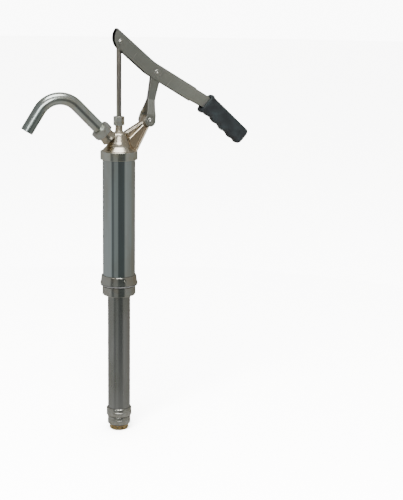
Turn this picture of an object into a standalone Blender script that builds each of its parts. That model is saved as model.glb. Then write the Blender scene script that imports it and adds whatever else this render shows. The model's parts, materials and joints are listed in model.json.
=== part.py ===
"""Lever-action drum pump: every piece as its own closed solid.

Lengths below are in millimetres and become metres when a mesh is made. The
origin is the centre of the seat that rests on the drum's bung, +Z runs up the
pump's axis, the handle reaches towards +X and the spout towards -X. The pump
stands with its rod drawn right up and its handle down.
"""

import math

import bmesh
import bpy
from mathutils import Matrix, Vector

MM = 0.001
GAP = 0.3
ROUND = 24
SMALL_ROUND = 16
MERGE = 1e-5

# Drum seat and base
THREAD_R = 29.8
THREAD_PITCH = 2.309
THREAD_DEPTH = 1.4
THREAD_LENGTH = 18.0
BASE_R = 33.0
BASE_NECK_R = 30.5
BASE_TOP = 18.0
GASKET_T = 2.0
SOCKET_FLOOR = 8.0
SUCTION_BORE_R = 20.3
VALVE_BORE_R = 24.0
VALVE_SHELF = -4.0

# Cylinder
TUBE_R = 28.5
TUBE_BORE_R = 26.5
TUBE_BOTTOM = SOCKET_FLOOR + 1.8
TUBE_TOP = 230.5

# Head casting
COLLAR_R = 32.25
COLLAR_BOTTOM = 221.7
COLLAR_TOP = 236.5
NECK_R = 6.3
GLAND_THREAD_R = 7.5
GLAND_BOTTOM = 280.1
GLAND_TOP = 295.8
GLAND_FLATS = 17.0
HEAD_CENTRE = 240.5

# Rod, lever and link: the pivots in the pump's middle plane, as (x, z)
ROD_R = 4.5
ROD_PIVOT = (0.0, 421.7)
FULCRUM = (67.4, 368.0)
LUG_PIVOT = (51.0, 286.8)
ROD_TOP = 428.7
PIVOT_PIN_R = 3.0
FULCRUM_PIN_R = 4.0
LUG_PIN_R = 4.0

LEVER_FRONT_ANGLE = math.radians(40.5)
LEVER_REAR_ANGLE = math.radians(30.6)
LEVER_DEPTH = 25.0
LEVER_ABOVE_PIVOT = 14.8
LEVER_WIDTH = 16.0
LEVER_WALL = 2.5
LEVER_TIP = -17.5
LEVER_BEND = 70.4
LEVER_REAR_LENGTH = 121.0
LEVER_NECK = 95.0

GRIP_START = (163.25, 313.05)
GRIP_ANGLE = math.radians(42.1)
GRIP_LENGTH = 95.0
GRIP_HALF_WIDTH = 12.5
GRIP_TOP = 16.7
GRIP_BOTTOM = 15.2
FINGER_PITCH = 20.3
FINGER_DEPTH = 0.9
FIRST_RIDGE = 11.5
TANG_HALF = 8.5
TANG_END = 72.0

LINK_T = 3.0
LINK_INNER = 1.5
LINK_OUTER = 15.5
LINK_EYE_R = 9.2
LINK_TOP_EYE_R = 8.5
LINK_WAIST_R = 6.6
LINK_SPREAD_START = 47.0
LINK_SPREAD_END = 72.0
LUG_HALF = 13.0
LUG_EYE_R = 9.5

# Spout
SPOUT_ANGLE = math.radians(45.0)
SPOUT_R = 10.65
SPOUT_BORE_R = 8.65
SPOUT_BOSS_R = 13.0
SPOUT_BOSS_END = 45.3
SPOUT_NUT = (37.3, 50.6)
SPOUT_NUT_FLATS = 32.0
SPOUT_START = 46.9
SPOUT_STRAIGHT_END = 107.2
SPOUT_BEND_R = 42.0
SPOUT_BEND = math.radians(102.0)
SPOUT_TAIL = 41.0

# Piston and valves
PISTON_BOTTOM = 126.0
PISTON_TOP = 141.0
PISTON_R = 25.9
PISTON_LIFT = 3.0
FOOT_BALL_R = 9.0

# Suction tubes: outer radius, bore radius, top and bottom
OUTER_TUBE = (20.0, 18.6, -5.2, -236.0)
MIDDLE_TUBE = (18.0, 16.6, -14.0, -251.6)
INNER_TUBE = (16.0, 14.5, -20.0, -258.0)
STRAINER_BOTTOM = -266.0

parts = None
cutters = None


def clear_scene():
    for obj in list(bpy.data.objects):
        bpy.data.objects.remove(obj)


def new_collection(name):
    collection = bpy.data.collections.new(name)
    bpy.context.scene.collection.children.link(collection)
    return collection


def new_material(name, colour, metallic, roughness):
    material = bpy.data.materials.new(name)
    material.use_nodes = True
    shader = material.node_tree.nodes["Principled BSDF"]
    shader.inputs["Base Color"].default_value = (*colour, 1.0)
    shader.inputs["Metallic"].default_value = metallic
    shader.inputs["Roughness"].default_value = roughness
    return material


def make_materials():
    finishes = {
        "chrome": ((0.62, 0.65, 0.66), 1.0, 0.12),
        "cast": ((0.55, 0.51, 0.43), 1.0, 0.3),
        "zinc": ((0.42, 0.42, 0.38), 1.0, 0.42),
        "steel": ((0.5, 0.5, 0.48), 1.0, 0.3),
        "brass": ((0.68, 0.52, 0.25), 1.0, 0.3),
        "grip": ((0.02, 0.022, 0.024), 0.0, 0.5),
        "rubber": ((0.015, 0.015, 0.015), 0.0, 0.7),
    }
    return {name: new_material(name, *values) for name, values in finishes.items()}


def add_object(name, mesh, material=None):
    """A named part, or a cutter when it has no material."""
    obj = bpy.data.objects.new(name, mesh)
    if material is None:
        cutters.objects.link(obj)
        obj.hide_render = True
        obj.display_type = "WIRE"
    else:
        parts.objects.link(obj)
        mesh.materials.append(material)
    return obj


def turned(name, profile, material=None, sides=ROUND, solid=False):
    """A shape turned about Z from (radius, height) points that run down its outside.

    A ring's profile comes back up its inside and is closed. A solid's profile
    starts and ends on the axis.
    """
    count = len(profile)
    bm = bmesh.new()
    verts = [bm.verts.new((r * MM, 0.0, z * MM)) for r, z in profile]
    for i in range(count - 1 if solid else count):
        bm.edges.new((verts[i], verts[(i + 1) % count]))
    mesh = bpy.data.meshes.new(name)
    bm.to_mesh(mesh)
    bm.free()
    obj = add_object(name, mesh, material)
    screw = obj.modifiers.new("Turn", "SCREW")
    screw.axis = "Z"
    screw.steps = sides
    screw.render_steps = sides
    screw.use_merge_vertices = True
    screw.merge_threshold = MERGE
    screw.use_smooth_shade = True
    return obj


def rod_shape(name, radius, low, high, material=None, sides=SMALL_ROUND, chamfer=0.0):
    """A round bar from low to high on the Z axis, chamfered at both ends."""
    profile = [(0.0, high), (radius - chamfer, high)]
    if chamfer:
        profile += [(radius, high - chamfer), (radius, low + chamfer)]
    profile += [(radius - chamfer, low), (0.0, low)]
    return turned(name, profile, material, sides, solid=True)


def ring(name, outer, inner, low, high, material=None, sides=ROUND):
    profile = [(outer, high), (outer, low), (inner, low), (inner, high)]
    return turned(name, profile, material, sides)


def place(obj, point, axis=(0.0, 0.0, 1.0)):
    """Puts the object's origin at the point, with its Z axis along the axis."""
    obj.location = Vector(point) * MM
    obj.rotation_euler = Vector(axis).to_track_quat("Z", "Y").to_euler()
    return obj


def across(obj, pivot):
    """Lays a piece turned about Z along the pump's Y axis, through a pivot."""
    obj.location = Vector((pivot[0], 0.0, pivot[1])) * MM
    obj.rotation_euler = (-math.pi / 2, 0.0, 0.0)
    return obj


def cut(obj, cutter, operation="DIFFERENCE"):
    boolean = obj.modifiers.new(cutter.name, "BOOLEAN")
    boolean.operation = operation
    boolean.solver = "EXACT"
    boolean.object = cutter
    return obj


def meshed(curve, material=None):
    """The curve object as a closed mesh object in the same place."""
    bpy.context.view_layer.update()
    graph = bpy.context.evaluated_depsgraph_get()
    mesh = bpy.data.meshes.new_from_object(curve.evaluated_get(graph))
    mesh.materials.clear()
    bm = bmesh.new()
    bm.from_mesh(mesh)
    bmesh.ops.remove_doubles(bm, verts=bm.verts, dist=MERGE)
    bmesh.ops.recalc_face_normals(bm, faces=bm.faces)
    bm.to_mesh(mesh)
    bm.free()
    name = curve.name
    matrix = curve.matrix_world.copy()
    bpy.data.objects.remove(curve)
    obj = add_object(name, mesh, material)
    obj.matrix_world = matrix
    return obj


def curve_object(name, points, cyclic):
    """A POLY curve, linked with the cutters until it is made a mesh."""
    curve = bpy.data.curves.new(name, "CURVE")
    spline = curve.splines.new("POLY")
    spline.points.add(len(points) - 1)
    for slot, point in zip(spline.points, points):
        slot.co = (*(c * MM for c in point), 1.0)
    spline.use_cyclic_u = cyclic
    obj = bpy.data.objects.new(name, curve)
    cutters.objects.link(obj)
    return obj


def plate(name, outline, half_thickness, material=None):
    """An outline in the XZ plane given thickness either way along Y."""
    obj = curve_object(name, [(x, z, 0.0) for x, z in outline], True)
    obj.data.dimensions = "2D"
    obj.data.fill_mode = "BOTH"
    obj.data.extrude = half_thickness * MM
    obj.rotation_euler = (math.pi / 2, 0.0, 0.0)
    return meshed(obj, material)


def swept(name, path, radius, material=None, resolution=4):
    """A round bar that follows a path of (x, y, z) points."""
    obj = curve_object(name, path, False)
    obj.data.dimensions = "3D"
    obj.data.bevel_depth = radius * MM
    obj.data.bevel_resolution = resolution
    obj.data.use_fill_caps = True
    return meshed(obj, material)


def hex_bar(name, flats, low, high, material=None):
    """A six-sided bar along Z, with the corners turned off at both ends."""
    corner = flats / math.sqrt(3.0)
    bm = bmesh.new()
    bmesh.ops.create_cone(
        bm,
        cap_ends=True,
        segments=6,
        radius1=corner * MM,
        radius2=corner * MM,
        depth=(high - low) * MM,
        matrix=Matrix.Translation((0.0, 0.0, (low + high) / 2 * MM)),
    )
    mesh = bpy.data.meshes.new(name)
    bm.to_mesh(mesh)
    bm.free()
    obj = add_object(name, mesh, material)
    drop = (corner - flats / 2 + 0.4) * math.tan(math.radians(30.0))
    barrel = [
        (0.0, high + 1.0),
        (flats / 2 - 0.4, high + 1.0),
        (flats / 2 - 0.4, high),
        (corner + 0.01, high - drop),
        (corner + 0.01, low + drop),
        (flats / 2 - 0.4, low),
        (flats / 2 - 0.4, low - 1.0),
        (0.0, low - 1.0),
    ]
    corners = turned(name + "_corners", barrel, solid=True)
    corners.parent = obj
    return cut(obj, corners, "INTERSECT")


class Frame:
    """A direction in the XZ plane: u runs down along it and v stands square above it."""

    def __init__(self, start, angle):
        self.start = start
        self.angle = angle

    def at(self, u, v):
        along, up = math.cos(self.angle), math.sin(self.angle)
        return (self.start[0] + u * along + v * up, self.start[1] - u * up + v * along)


def arc(centre, radius, start, end, steps):
    """Points on an arc, both ends included; angles in degrees."""
    return [
        (
            centre[0] + radius * math.cos(math.radians(start + (end - start) * i / steps)),
            centre[1] + radius * math.sin(math.radians(start + (end - start) * i / steps)),
        )
        for i in range(steps + 1)
    ]


def rounded(corners, steps=3):
    """An outline whose (x, z, radius) corners are rounded by arcs."""
    points = []
    count = len(corners)
    for i, (x, z, radius) in enumerate(corners):
        here = Vector((x, z))
        if not radius:
            points.append((x, z))
            continue
        before = (Vector(corners[i - 1][:2]) - here).normalized()
        after = (Vector(corners[(i + 1) % count][:2]) - here).normalized()
        half = before.angle(after) / 2
        centre = here + (before + after).normalized() * (radius / math.sin(half))
        first = here + before * (radius / math.tan(half)) - centre
        last = here + after * (radius / math.tan(half)) - centre
        for step in range(steps + 1):
            spoke = first.lerp(last, step / steps).normalized() * radius
            points.append(tuple(centre + spoke))
    return points


# Base and cylinder


def make_base(m):
    crests = int(THREAD_LENGTH / THREAD_PITCH)
    thread = []
    for turn in range(crests):
        top = -THREAD_PITCH * (turn + 0.25)
        thread += [(THREAD_R, top), (THREAD_R - THREAD_DEPTH, top - THREAD_PITCH / 2)]
    foot = THREAD_R - THREAD_DEPTH - 1.0
    seat = GASKET_T + GAP
    profile = [
        (BASE_NECK_R - 0.5, BASE_TOP),
        (BASE_NECK_R, BASE_TOP - 0.7),
        (BASE_NECK_R + 0.6, BASE_TOP - 4.0),
        (BASE_R - 0.6, SOCKET_FLOOR),
        (BASE_R, seat + 1.9),
        (BASE_R, seat + 0.8),
        (BASE_R - 0.8, seat),
        (THREAD_R - THREAD_DEPTH, seat),
        *thread,
        (foot, -THREAD_LENGTH),
        (SUCTION_BORE_R, -THREAD_LENGTH),
        (SUCTION_BORE_R, VALVE_SHELF),
        (VALVE_BORE_R, VALVE_SHELF),
        (VALVE_BORE_R, SOCKET_FLOOR),
        (TUBE_R + GAP, SOCKET_FLOOR),
        (TUBE_R + GAP, BASE_TOP),
    ]
    base = turned("bung_adapter", profile, m["zinc"], sides=32)
    screw_height = SOCKET_FLOOR + 3.0
    hole = rod_shape("set_screw_hole", 2.8, TUBE_R - 1.0, BASE_R + 2.0, sides=12)
    screw_end = BASE_NECK_R + 1.8
    cut(base, place(hole, (0.0, 0.0, screw_height), (0.0, -1.0, 0.0)))
    screw = rod_shape("base_set_screw", 2.5, TUBE_R + GAP + 0.1, screw_end, m["steel"], 12, 0.4)
    place(screw, (0.0, 0.0, screw_height), (0.0, -1.0, 0.0))
    socket = hex_bar("set_screw_socket", 2.5, screw_end - 2.0, BASE_R + 2.0)
    cut(screw, place(socket, (0.0, 0.0, screw_height), (0.0, -1.0, 0.0)))
    ring("bung_gasket", BASE_R - 0.4, THREAD_R + 0.4, 0.0, GASKET_T, m["rubber"])


def make_cylinder(m):
    ring("cylinder_tube", TUBE_R, TUBE_BORE_R, TUBE_BOTTOM, TUBE_TOP, m["chrome"], sides=40)
    low = SOCKET_FLOOR + GAP
    ring("cylinder_bottom_gasket", TUBE_R, TUBE_BORE_R, low, TUBE_BOTTOM - GAP, m["rubber"])
    high = TUBE_TOP + GAP
    ring("cylinder_top_gasket", TUBE_R, TUBE_BORE_R, high, high + 1.5, m["rubber"])


# Head


def spout_point(distance):
    """A point on the spout's axis, this far from the head's centre."""
    reach = distance * math.cos(SPOUT_ANGLE)
    return (-reach, 0.0, HEAD_CENTRE + distance * math.sin(SPOUT_ANGLE))


SPOUT_AXIS = (-math.cos(SPOUT_ANGLE), 0.0, math.sin(SPOUT_ANGLE))


def on_spout(obj):
    """Moves a piece turned about Z onto the spout's axis."""
    return place(obj, (0.0, 0.0, HEAD_CENTRE), SPOUT_AXIS)


def head_body(m):
    """The collar, dome and neck as one turned solid."""
    thread_top = GLAND_BOTTOM + 8.2
    profile = [
        (0.0, thread_top),
        (GLAND_THREAD_R - 0.6, thread_top),
        (GLAND_THREAD_R, thread_top - 0.6),
        (GLAND_THREAD_R, GLAND_BOTTOM + 0.9),
        (NECK_R, GLAND_BOTTOM + 0.3),
        (NECK_R, 272.5),
        (8.0, 270.4),
        (11.8, 269.2),
        (13.8, 266.5),
        (16.2, 259.0),
        (18.9, 251.0),
        (21.0, 245.0),
        (25.4, 239.6),
        (27.6, 237.2),
        (COLLAR_R - 1.0, COLLAR_TOP),
        (COLLAR_R, COLLAR_TOP - 1.0),
        (COLLAR_R, COLLAR_BOTTOM + 1.0),
        (COLLAR_R - 1.0, COLLAR_BOTTOM),
        (0.0, COLLAR_BOTTOM),
    ]
    return turned("head_casting", profile, m["cast"], sides=32, solid=True)


def arm_web_outline():
    foot = COLLAR_TOP - 1.5
    return [(5.0, 262.0), (5.0, 266.0), (48.0, 289.5), (56.0, 281.0), (31.5, foot), (10.0, foot)]


def rib_outline(start, end, half):
    """A straight rib as a thin four-sided outline."""
    run = (Vector(end) - Vector(start)).normalized()
    side = Vector((-run.y, run.x)) * half
    first, last = Vector(start), Vector(end)
    return [tuple(first + side), tuple(last + side), tuple(last - side), tuple(first - side)]


def make_head(m):
    head = head_body(m)
    boss = [
        (0.0, SPOUT_BOSS_END),
        (SPOUT_BOSS_R - 0.8, SPOUT_BOSS_END),
        (SPOUT_BOSS_R, SPOUT_BOSS_END - 0.8),
        (SPOUT_BOSS_R, 8.0),
        (0.0, 8.0),
    ]
    cut(head, on_spout(turned("spout_boss", boss, sides=28, solid=True)), "UNION")
    cut(head, plate("arm_web", arm_web_outline(), 2.6), "UNION")
    ribs = {
        "arm_top_rib": ((6.0, 265.2), (47.0, 287.6), 1.5, 7.4),
        "arm_middle_rib": ((12.0, 252.6), (45.0, 282.6), 1.3, 5.6),
        "arm_back_rib": ((29.4, 234.4), (53.2, 280.0), 1.5, 7.2),
    }
    for name, (start, end, half, width) in ribs.items():
        cut(head, plate(name, rib_outline(start, end, half), width), "UNION")
    eye = rod_shape("lug_eye", LUG_EYE_R, -LUG_HALF, LUG_HALF, sides=24, chamfer=0.8)
    cut(head, across(eye, LUG_PIVOT), "UNION")
    hollow = [
        (0.0, 300.0),
        (ROD_R + GAP, 300.0),
        (ROD_R + GAP, 266.0),
        (8.0, 262.8),
        (12.0, 254.5),
        (16.6, 243.5),
        (21.5, 236.5),
        (TUBE_BORE_R - 0.4, 234.0),
        (TUBE_BORE_R - 0.4, TUBE_TOP + 2.1),
        (TUBE_R + GAP, TUBE_TOP + 2.1),
        (TUBE_R + GAP, 215.0),
        (0.0, 215.0),
    ]
    cut(head, turned("head_hollow", hollow, sides=28, solid=True))
    passage = rod_shape("spout_passage", SPOUT_BORE_R, 2.0, SPOUT_BOSS_END + 3.0, sides=24)
    cut(head, on_spout(passage))
    pin_hole = rod_shape("lug_hole", LUG_PIN_R + GAP, -20.0, 20.0)
    cut(head, across(pin_hole, LUG_PIVOT))


def make_gland(m):
    nut = hex_bar("gland_nut", GLAND_FLATS, GLAND_BOTTOM, GLAND_TOP, m["zinc"])
    nut.rotation_euler.z = math.radians(10.0)
    inside = [
        (0.0, GLAND_TOP + 2.0),
        (ROD_R + GAP, GLAND_TOP + 2.0),
        (ROD_R + GAP, GLAND_TOP - 3.0),
        (GLAND_THREAD_R + GAP, GLAND_TOP - 3.0),
        (GLAND_THREAD_R + GAP, GLAND_BOTTOM - 2.0),
        (0.0, GLAND_BOTTOM - 2.0),
    ]
    cut(nut, turned("gland_inside", inside, sides=SMALL_ROUND, solid=True))
    low = GLAND_BOTTOM + 8.2 + GAP
    high = GLAND_TOP - 3.0 - GAP
    ring("gland_packing", GLAND_THREAD_R, ROD_R + 0.1, low, high, m["rubber"], SMALL_ROUND)


# Rod and piston


def make_rod(m):
    foot = PISTON_BOTTOM - 9.0
    stud = 3.8
    profile = [
        (0.0, ROD_TOP),
        (ROD_R - 1.5, ROD_TOP),
        (ROD_R, ROD_TOP - 1.5),
        (ROD_R, PISTON_TOP + 8.0 + GAP),
        (stud, PISTON_TOP + 8.0 + GAP),
        (stud, foot),
        (0.0, foot),
    ]
    rod = turned("piston_rod", profile, m["steel"], sides=24, solid=True)
    hole = rod_shape("rod_hole", PIVOT_PIN_R + GAP, -10.0, 10.0, sides=16)
    cut(rod, across(hole, ROD_PIVOT))


def make_piston(m):
    bore = 3.8 + GAP
    groove_low = PISTON_BOTTOM + 3.5
    groove_high = PISTON_BOTTOM + 10.5
    profile = [
        (PISTON_R, PISTON_TOP),
        (PISTON_R, groove_high),
        (21.5, groove_high),
        (21.5, groove_low),
        (PISTON_R, groove_low),
        (PISTON_R, PISTON_BOTTOM),
        (bore, PISTON_BOTTOM),
        (bore, PISTON_TOP),
    ]
    piston = turned("piston_body", profile, m["brass"], sides=28)
    for i in range(6):
        port = rod_shape(f"piston_port_{i}", 3.2, PISTON_BOTTOM - 2.0, PISTON_TOP + 2.0, sides=12)
        turn = math.radians(60.0 * i)
        cut(piston, place(port, (13.0 * math.cos(turn), 13.0 * math.sin(turn), 0.0)))
    ring("piston_seal", TUBE_BORE_R - 0.2, 21.8, groove_low + GAP, groove_high - GAP, m["rubber"])
    disc_low = PISTON_TOP + GAP
    ring("piston_valve_disc", 19.0, 7.2, disc_low, disc_low + 2.0, m["brass"])
    stop = [
        (16.0, PISTON_TOP + 8.0),
        (16.0, PISTON_TOP + 2.3 + PISTON_LIFT + GAP),
        (6.6, PISTON_TOP + 2.3 + PISTON_LIFT + GAP),
        (6.6, PISTON_TOP + GAP),
        (bore, PISTON_TOP + GAP),
        (bore, PISTON_TOP + 8.0),
    ]
    turned("piston_valve_stop", stop, m["steel"], sides=24)
    nut = hex_bar("piston_nut", 14.0, PISTON_BOTTOM - 7.0, PISTON_BOTTOM - GAP, m["steel"])
    cut(nut, rod_shape("piston_nut_hole", bore, PISTON_BOTTOM - 9.0, PISTON_BOTTOM + 1.0))


# Foot valve


def make_foot_valve(m):
    low = VALVE_SHELF + GAP
    top = low + 7.0
    seat = [
        (VALVE_BORE_R - GAP, top),
        (VALVE_BORE_R - GAP, low),
        (6.2, low),
        (6.2, top - 2.0),
        (9.4, top),
    ]
    turned("foot_valve_seat", seat, m["brass"])
    ball_centre = foot_ball_height()
    bm = bmesh.new()
    bmesh.ops.create_uvsphere(bm, u_segments=20, v_segments=12, radius=FOOT_BALL_R * MM)
    mesh = bpy.data.meshes.new("foot_valve_ball")
    bm.to_mesh(mesh)
    bm.free()
    ball = add_object("foot_valve_ball", mesh, m["steel"])
    ball.location.z = ball_centre * MM
    roof = ball_centre + FOOT_BALL_R + 4.6
    cage_r = FOOT_BALL_R + 4.0
    profile = [
        (4.0, roof + 2.0),
        (cage_r - 2.0, roof + 2.0),
        (cage_r, roof),
        (cage_r, top + 4.0),
        (VALVE_BORE_R - GAP, top + 3.0),
        (VALVE_BORE_R - GAP, top + GAP),
        (cage_r - 2.0, top + GAP),
        (cage_r - 2.0, roof),
        (4.0, roof),
    ]
    cage = turned("foot_valve_cage", profile, m["brass"])
    for i in range(3):
        half = 5.5
        window = plate(
            f"cage_window_{i}",
            [(4.0, top + 5.0), (30.0, top + 5.0), (30.0, roof - 1.0), (4.0, roof - 1.0)],
            half,
        )
        turn = Matrix.Rotation(math.radians(120.0 * i + 30.0), 4, "Z")
        window.matrix_world = turn @ window.matrix_world
        cut(cage, window)


def foot_ball_height():
    """The ball's centre when it rests just clear of the edge of its seat."""
    seat_r, seat_z = 9.4, VALVE_SHELF + GAP + 7.0
    reach = FOOT_BALL_R + GAP
    cone = math.atan2(2.0, 9.4 - 6.2)
    return seat_z - 1.0 - (seat_r + 6.2) / 2 * math.tan(cone) + reach / math.cos(cone)


# Suction tubes


def beaded_tube(name, size, material):
    """A sliding tube with a bead at its top, which the collar around it stops."""
    outer, inner, top, bottom = size
    bead = outer + 0.4
    profile = [(bead, top), (bead, top - 3.0), (outer, top - 4.0), (outer, bottom)]
    profile += [(inner, bottom), (inner, top)]
    return turned(name, profile, material)


def make_suction(m):
    outer, inner, top, bottom = OUTER_TUBE
    ring("suction_outer_tube", outer, inner, bottom, top, m["zinc"])
    beaded_tube("suction_middle_tube", MIDDLE_TUBE, m["zinc"])
    beaded_tube("suction_inner_tube", INNER_TUBE, m["zinc"])
    for name, around, through in (
        ("suction_outer", OUTER_TUBE, MIDDLE_TUBE),
        ("suction_middle", MIDDLE_TUBE, INNER_TUBE),
    ):
        outer_r, end = around[0], around[3]
        lip = through[0] + 0.2
        collar = [
            (outer_r + 1.0, end + 10.0),
            (outer_r + 2.4, end + 8.6),
            (outer_r + 2.4, end - 4.0),
            (outer_r + 1.4, end - 5.0),
            (lip, end - 5.0),
            (lip, end - 3.6),
            (outer_r + GAP, end - 3.6),
            (outer_r + GAP, end + 10.0),
        ]
        turned(name + "_collar", collar, m["steel"])
        ring(name + "_seal", outer_r, through[0] + 0.1, end - 3.6 + GAP, end - GAP, m["rubber"])


def make_strainer(m):
    outer, inner, _, end = INNER_TUBE
    profile = [
        (outer + 0.8, end - GAP),
        (outer + 0.8, STRAINER_BOTTOM + 1.0),
        (outer, STRAINER_BOTTOM),
        (inner - 4.0, STRAINER_BOTTOM),
        (inner - 4.0, STRAINER_BOTTOM + 2.0),
        (inner - 1.8, STRAINER_BOTTOM + 2.0),
        (inner - 1.8, end + 8.0),
        (inner - GAP, end + 8.0),
        (inner - GAP, end - GAP),
    ]
    strainer = turned("suction_strainer", profile, m["brass"])
    low = STRAINER_BOTTOM + 2.6
    for i in range(3):
        slot = plate(
            f"strainer_slot_{i}",
            [(-25.0, low), (25.0, low), (25.0, low + 3.2), (-25.0, low + 3.2)],
            2.0,
        )
        turn = Matrix.Rotation(math.radians(60.0 * i), 4, "Z")
        slot.matrix_world = turn @ slot.matrix_world
        cut(strainer, slot)


# Spout


def spout_path(before=0.0, after=0.0):
    """The middle line of the spout, from the head to its mouth."""
    start = spout_point(SPOUT_START - before)
    bend_x, _, bend_z = spout_point(SPOUT_STRAIGHT_END)
    lean = math.pi / 2 - SPOUT_ANGLE
    centre = (bend_x - SPOUT_BEND_R * math.cos(lean), bend_z - SPOUT_BEND_R * math.sin(lean))
    end = math.degrees(lean + SPOUT_BEND)
    curve = arc(centre, SPOUT_BEND_R, math.degrees(lean), end, 12)
    last = curve[-1]
    way = math.radians(end + 90.0)
    tail = SPOUT_TAIL + after
    mouth = (last[0] + tail * math.cos(way), last[1] + tail * math.sin(way))
    return [start, *((x, 0.0, z) for x, z in curve), (mouth[0], 0.0, mouth[1])]


def make_spout(m):
    tube = swept("spout_tube", spout_path(), SPOUT_R, m["chrome"])
    cut(tube, swept("spout_bore", spout_path(2.0, 2.0), SPOUT_BORE_R))
    collar_low, collar_high = SPOUT_START, SPOUT_START + 1.4
    collar = ring("spout_collar", 13.1, SPOUT_R + GAP, collar_low, collar_high, m["steel"], 28)
    on_spout(collar)
    seal_low = SPOUT_BOSS_END + GAP
    on_spout(ring("spout_seal", 12.6, SPOUT_BORE_R + 0.3, seal_low, SPOUT_START - GAP, m["rubber"], 28))
    low, high = SPOUT_NUT
    nut = hex_bar("spout_nut", SPOUT_NUT_FLATS, low, high, m["zinc"])
    on_spout(nut)
    inside = [
        (0.0, high + 2.0),
        (SPOUT_R + GAP, high + 2.0),
        (SPOUT_R + GAP, collar_high + GAP),
        (SPOUT_BOSS_R + 0.5, collar_high + GAP),
        (SPOUT_BOSS_R + 0.5, low - 2.0),
        (0.0, low - 2.0),
    ]
    cut(nut, on_spout(turned("spout_nut_inside", inside, sides=28, solid=True)))


# Lever


def lever_frames():
    front = Frame(ROD_PIVOT, LEVER_FRONT_ANGLE)
    rear = Frame(front.at(LEVER_BEND, LEVER_ABOVE_PIVOT), LEVER_REAR_ANGLE)
    return front, rear, Frame(GRIP_START, GRIP_ANGLE)


def lever_outline():
    """The channel's side: square tip, shallow bend, and a tang inside the grip."""
    front, rear, grip = lever_frames()
    low = LEVER_ABOVE_PIVOT - LEVER_DEPTH
    half_bend = (LEVER_FRONT_ANGLE - LEVER_REAR_ANGLE) / 2
    nose = arc((LEVER_TIP + LEVER_DEPTH, LEVER_ABOVE_PIVOT), LEVER_DEPTH, 270.0, 184.0, 8)
    return rounded(
        [
            (*front.at(LEVER_TIP, LEVER_ABOVE_PIVOT), 1.2),
            (*front.at(LEVER_BEND, LEVER_ABOVE_PIVOT), 80.0),
            (*rear.at(LEVER_REAR_LENGTH, 0.0), 3.0),
            (*grip.at(4.0, TANG_HALF), 0.0),
            (*grip.at(TANG_END, TANG_HALF), 0.0),
            (*grip.at(TANG_END, -TANG_HALF), 0.0),
            (*grip.at(4.5, -TANG_HALF), 0.0),
            (*rear.at(LEVER_NECK + 1.0, 1.2 - LEVER_DEPTH), 0.0),
            (*rear.at(LEVER_NECK, -LEVER_DEPTH), 0.0),
            (*front.at(LEVER_BEND + LEVER_DEPTH * math.tan(half_bend), low), 60.0),
            *((*front.at(u, v), 0.0) for u, v in nose),
        ]
    )


def lever_hollow():
    """What is cut from under the channel's top wall, open at both ends."""
    front, rear, grip = lever_frames()
    under = LEVER_ABOVE_PIVOT - LEVER_WALL
    far_below = -60.0
    return rounded(
        [
            (*front.at(LEVER_TIP - 10.0, under), 0.0),
            (*front.at(LEVER_BEND, under), 80.0),
            (*rear.at(LEVER_REAR_LENGTH - 2.0, -LEVER_WALL), 0.0),
            (*grip.at(5.0, TANG_HALF - LEVER_WALL), 0.0),
            (*grip.at(TANG_END + 5.0, TANG_HALF - LEVER_WALL), 0.0),
            (*grip.at(TANG_END + 5.0, far_below), 0.0),
            (*front.at(LEVER_TIP - 10.0, far_below), 0.0),
        ]
    )


def make_lever(m):
    lever = plate("lever", lever_outline(), LEVER_WIDTH / 2, m["zinc"])
    cut(lever, plate("lever_hollow", lever_hollow(), LEVER_WIDTH / 2 - LEVER_WALL))
    for name, radius, pivot in (
        ("lever_rod_hole", PIVOT_PIN_R + GAP, ROD_PIVOT),
        ("lever_fulcrum_hole", FULCRUM_PIN_R + GAP, FULCRUM),
    ):
        cut(lever, across(rod_shape(name, radius, -20.0, 20.0, sides=16), pivot))


def grip_section(u, high, low, half_width):
    """A soft rectangle square to the grip, as points in space."""
    grip = Frame(GRIP_START, GRIP_ANGLE)
    middle, half_height = (high - low) / 2, (high + low) / 2
    points = []
    for i in range(SMALL_ROUND):
        turn = 2.0 * math.pi * (i + 0.5) / SMALL_ROUND
        c, s = math.cos(turn), math.sin(turn)
        across_y = half_width * math.copysign(abs(c) ** 0.65, c)
        v = middle + half_height * math.copysign(abs(s) ** 0.65, s)
        x, z = grip.at(u, v)
        points.append((x * MM, across_y * MM, z * MM))
    return points


def grip_stations():
    """Sections from the guard to the rounded end: distance, top, bottom and half width."""
    stations = [
        (-3.0, 16.6, 17.6, 13.2),
        (-1.0, 18.0, 19.0, 14.2),
        (2.5, 18.0, 19.2, 14.2),
        (5.5, 16.9, 17.6, 13.0),
    ]
    steps = 20
    start, end = 8.0, GRIP_LENGTH - 6.0
    for i in range(steps + 1):
        u = start + (end - start) * i / steps
        wave = FINGER_DEPTH * math.cos(2.0 * math.pi * (u - FIRST_RIDGE) / FINGER_PITCH)
        stations.append((u, GRIP_TOP, GRIP_BOTTOM + wave, GRIP_HALF_WIDTH))
    for i in range(1, 5):
        turn = math.radians(90.0 * i / 4)
        shrink = 6.0 * (1.0 - math.cos(turn))
        u = end + 6.0 * math.sin(turn)
        stations.append((u, GRIP_TOP - shrink, GRIP_BOTTOM - shrink, GRIP_HALF_WIDTH - shrink))
    return stations


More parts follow.
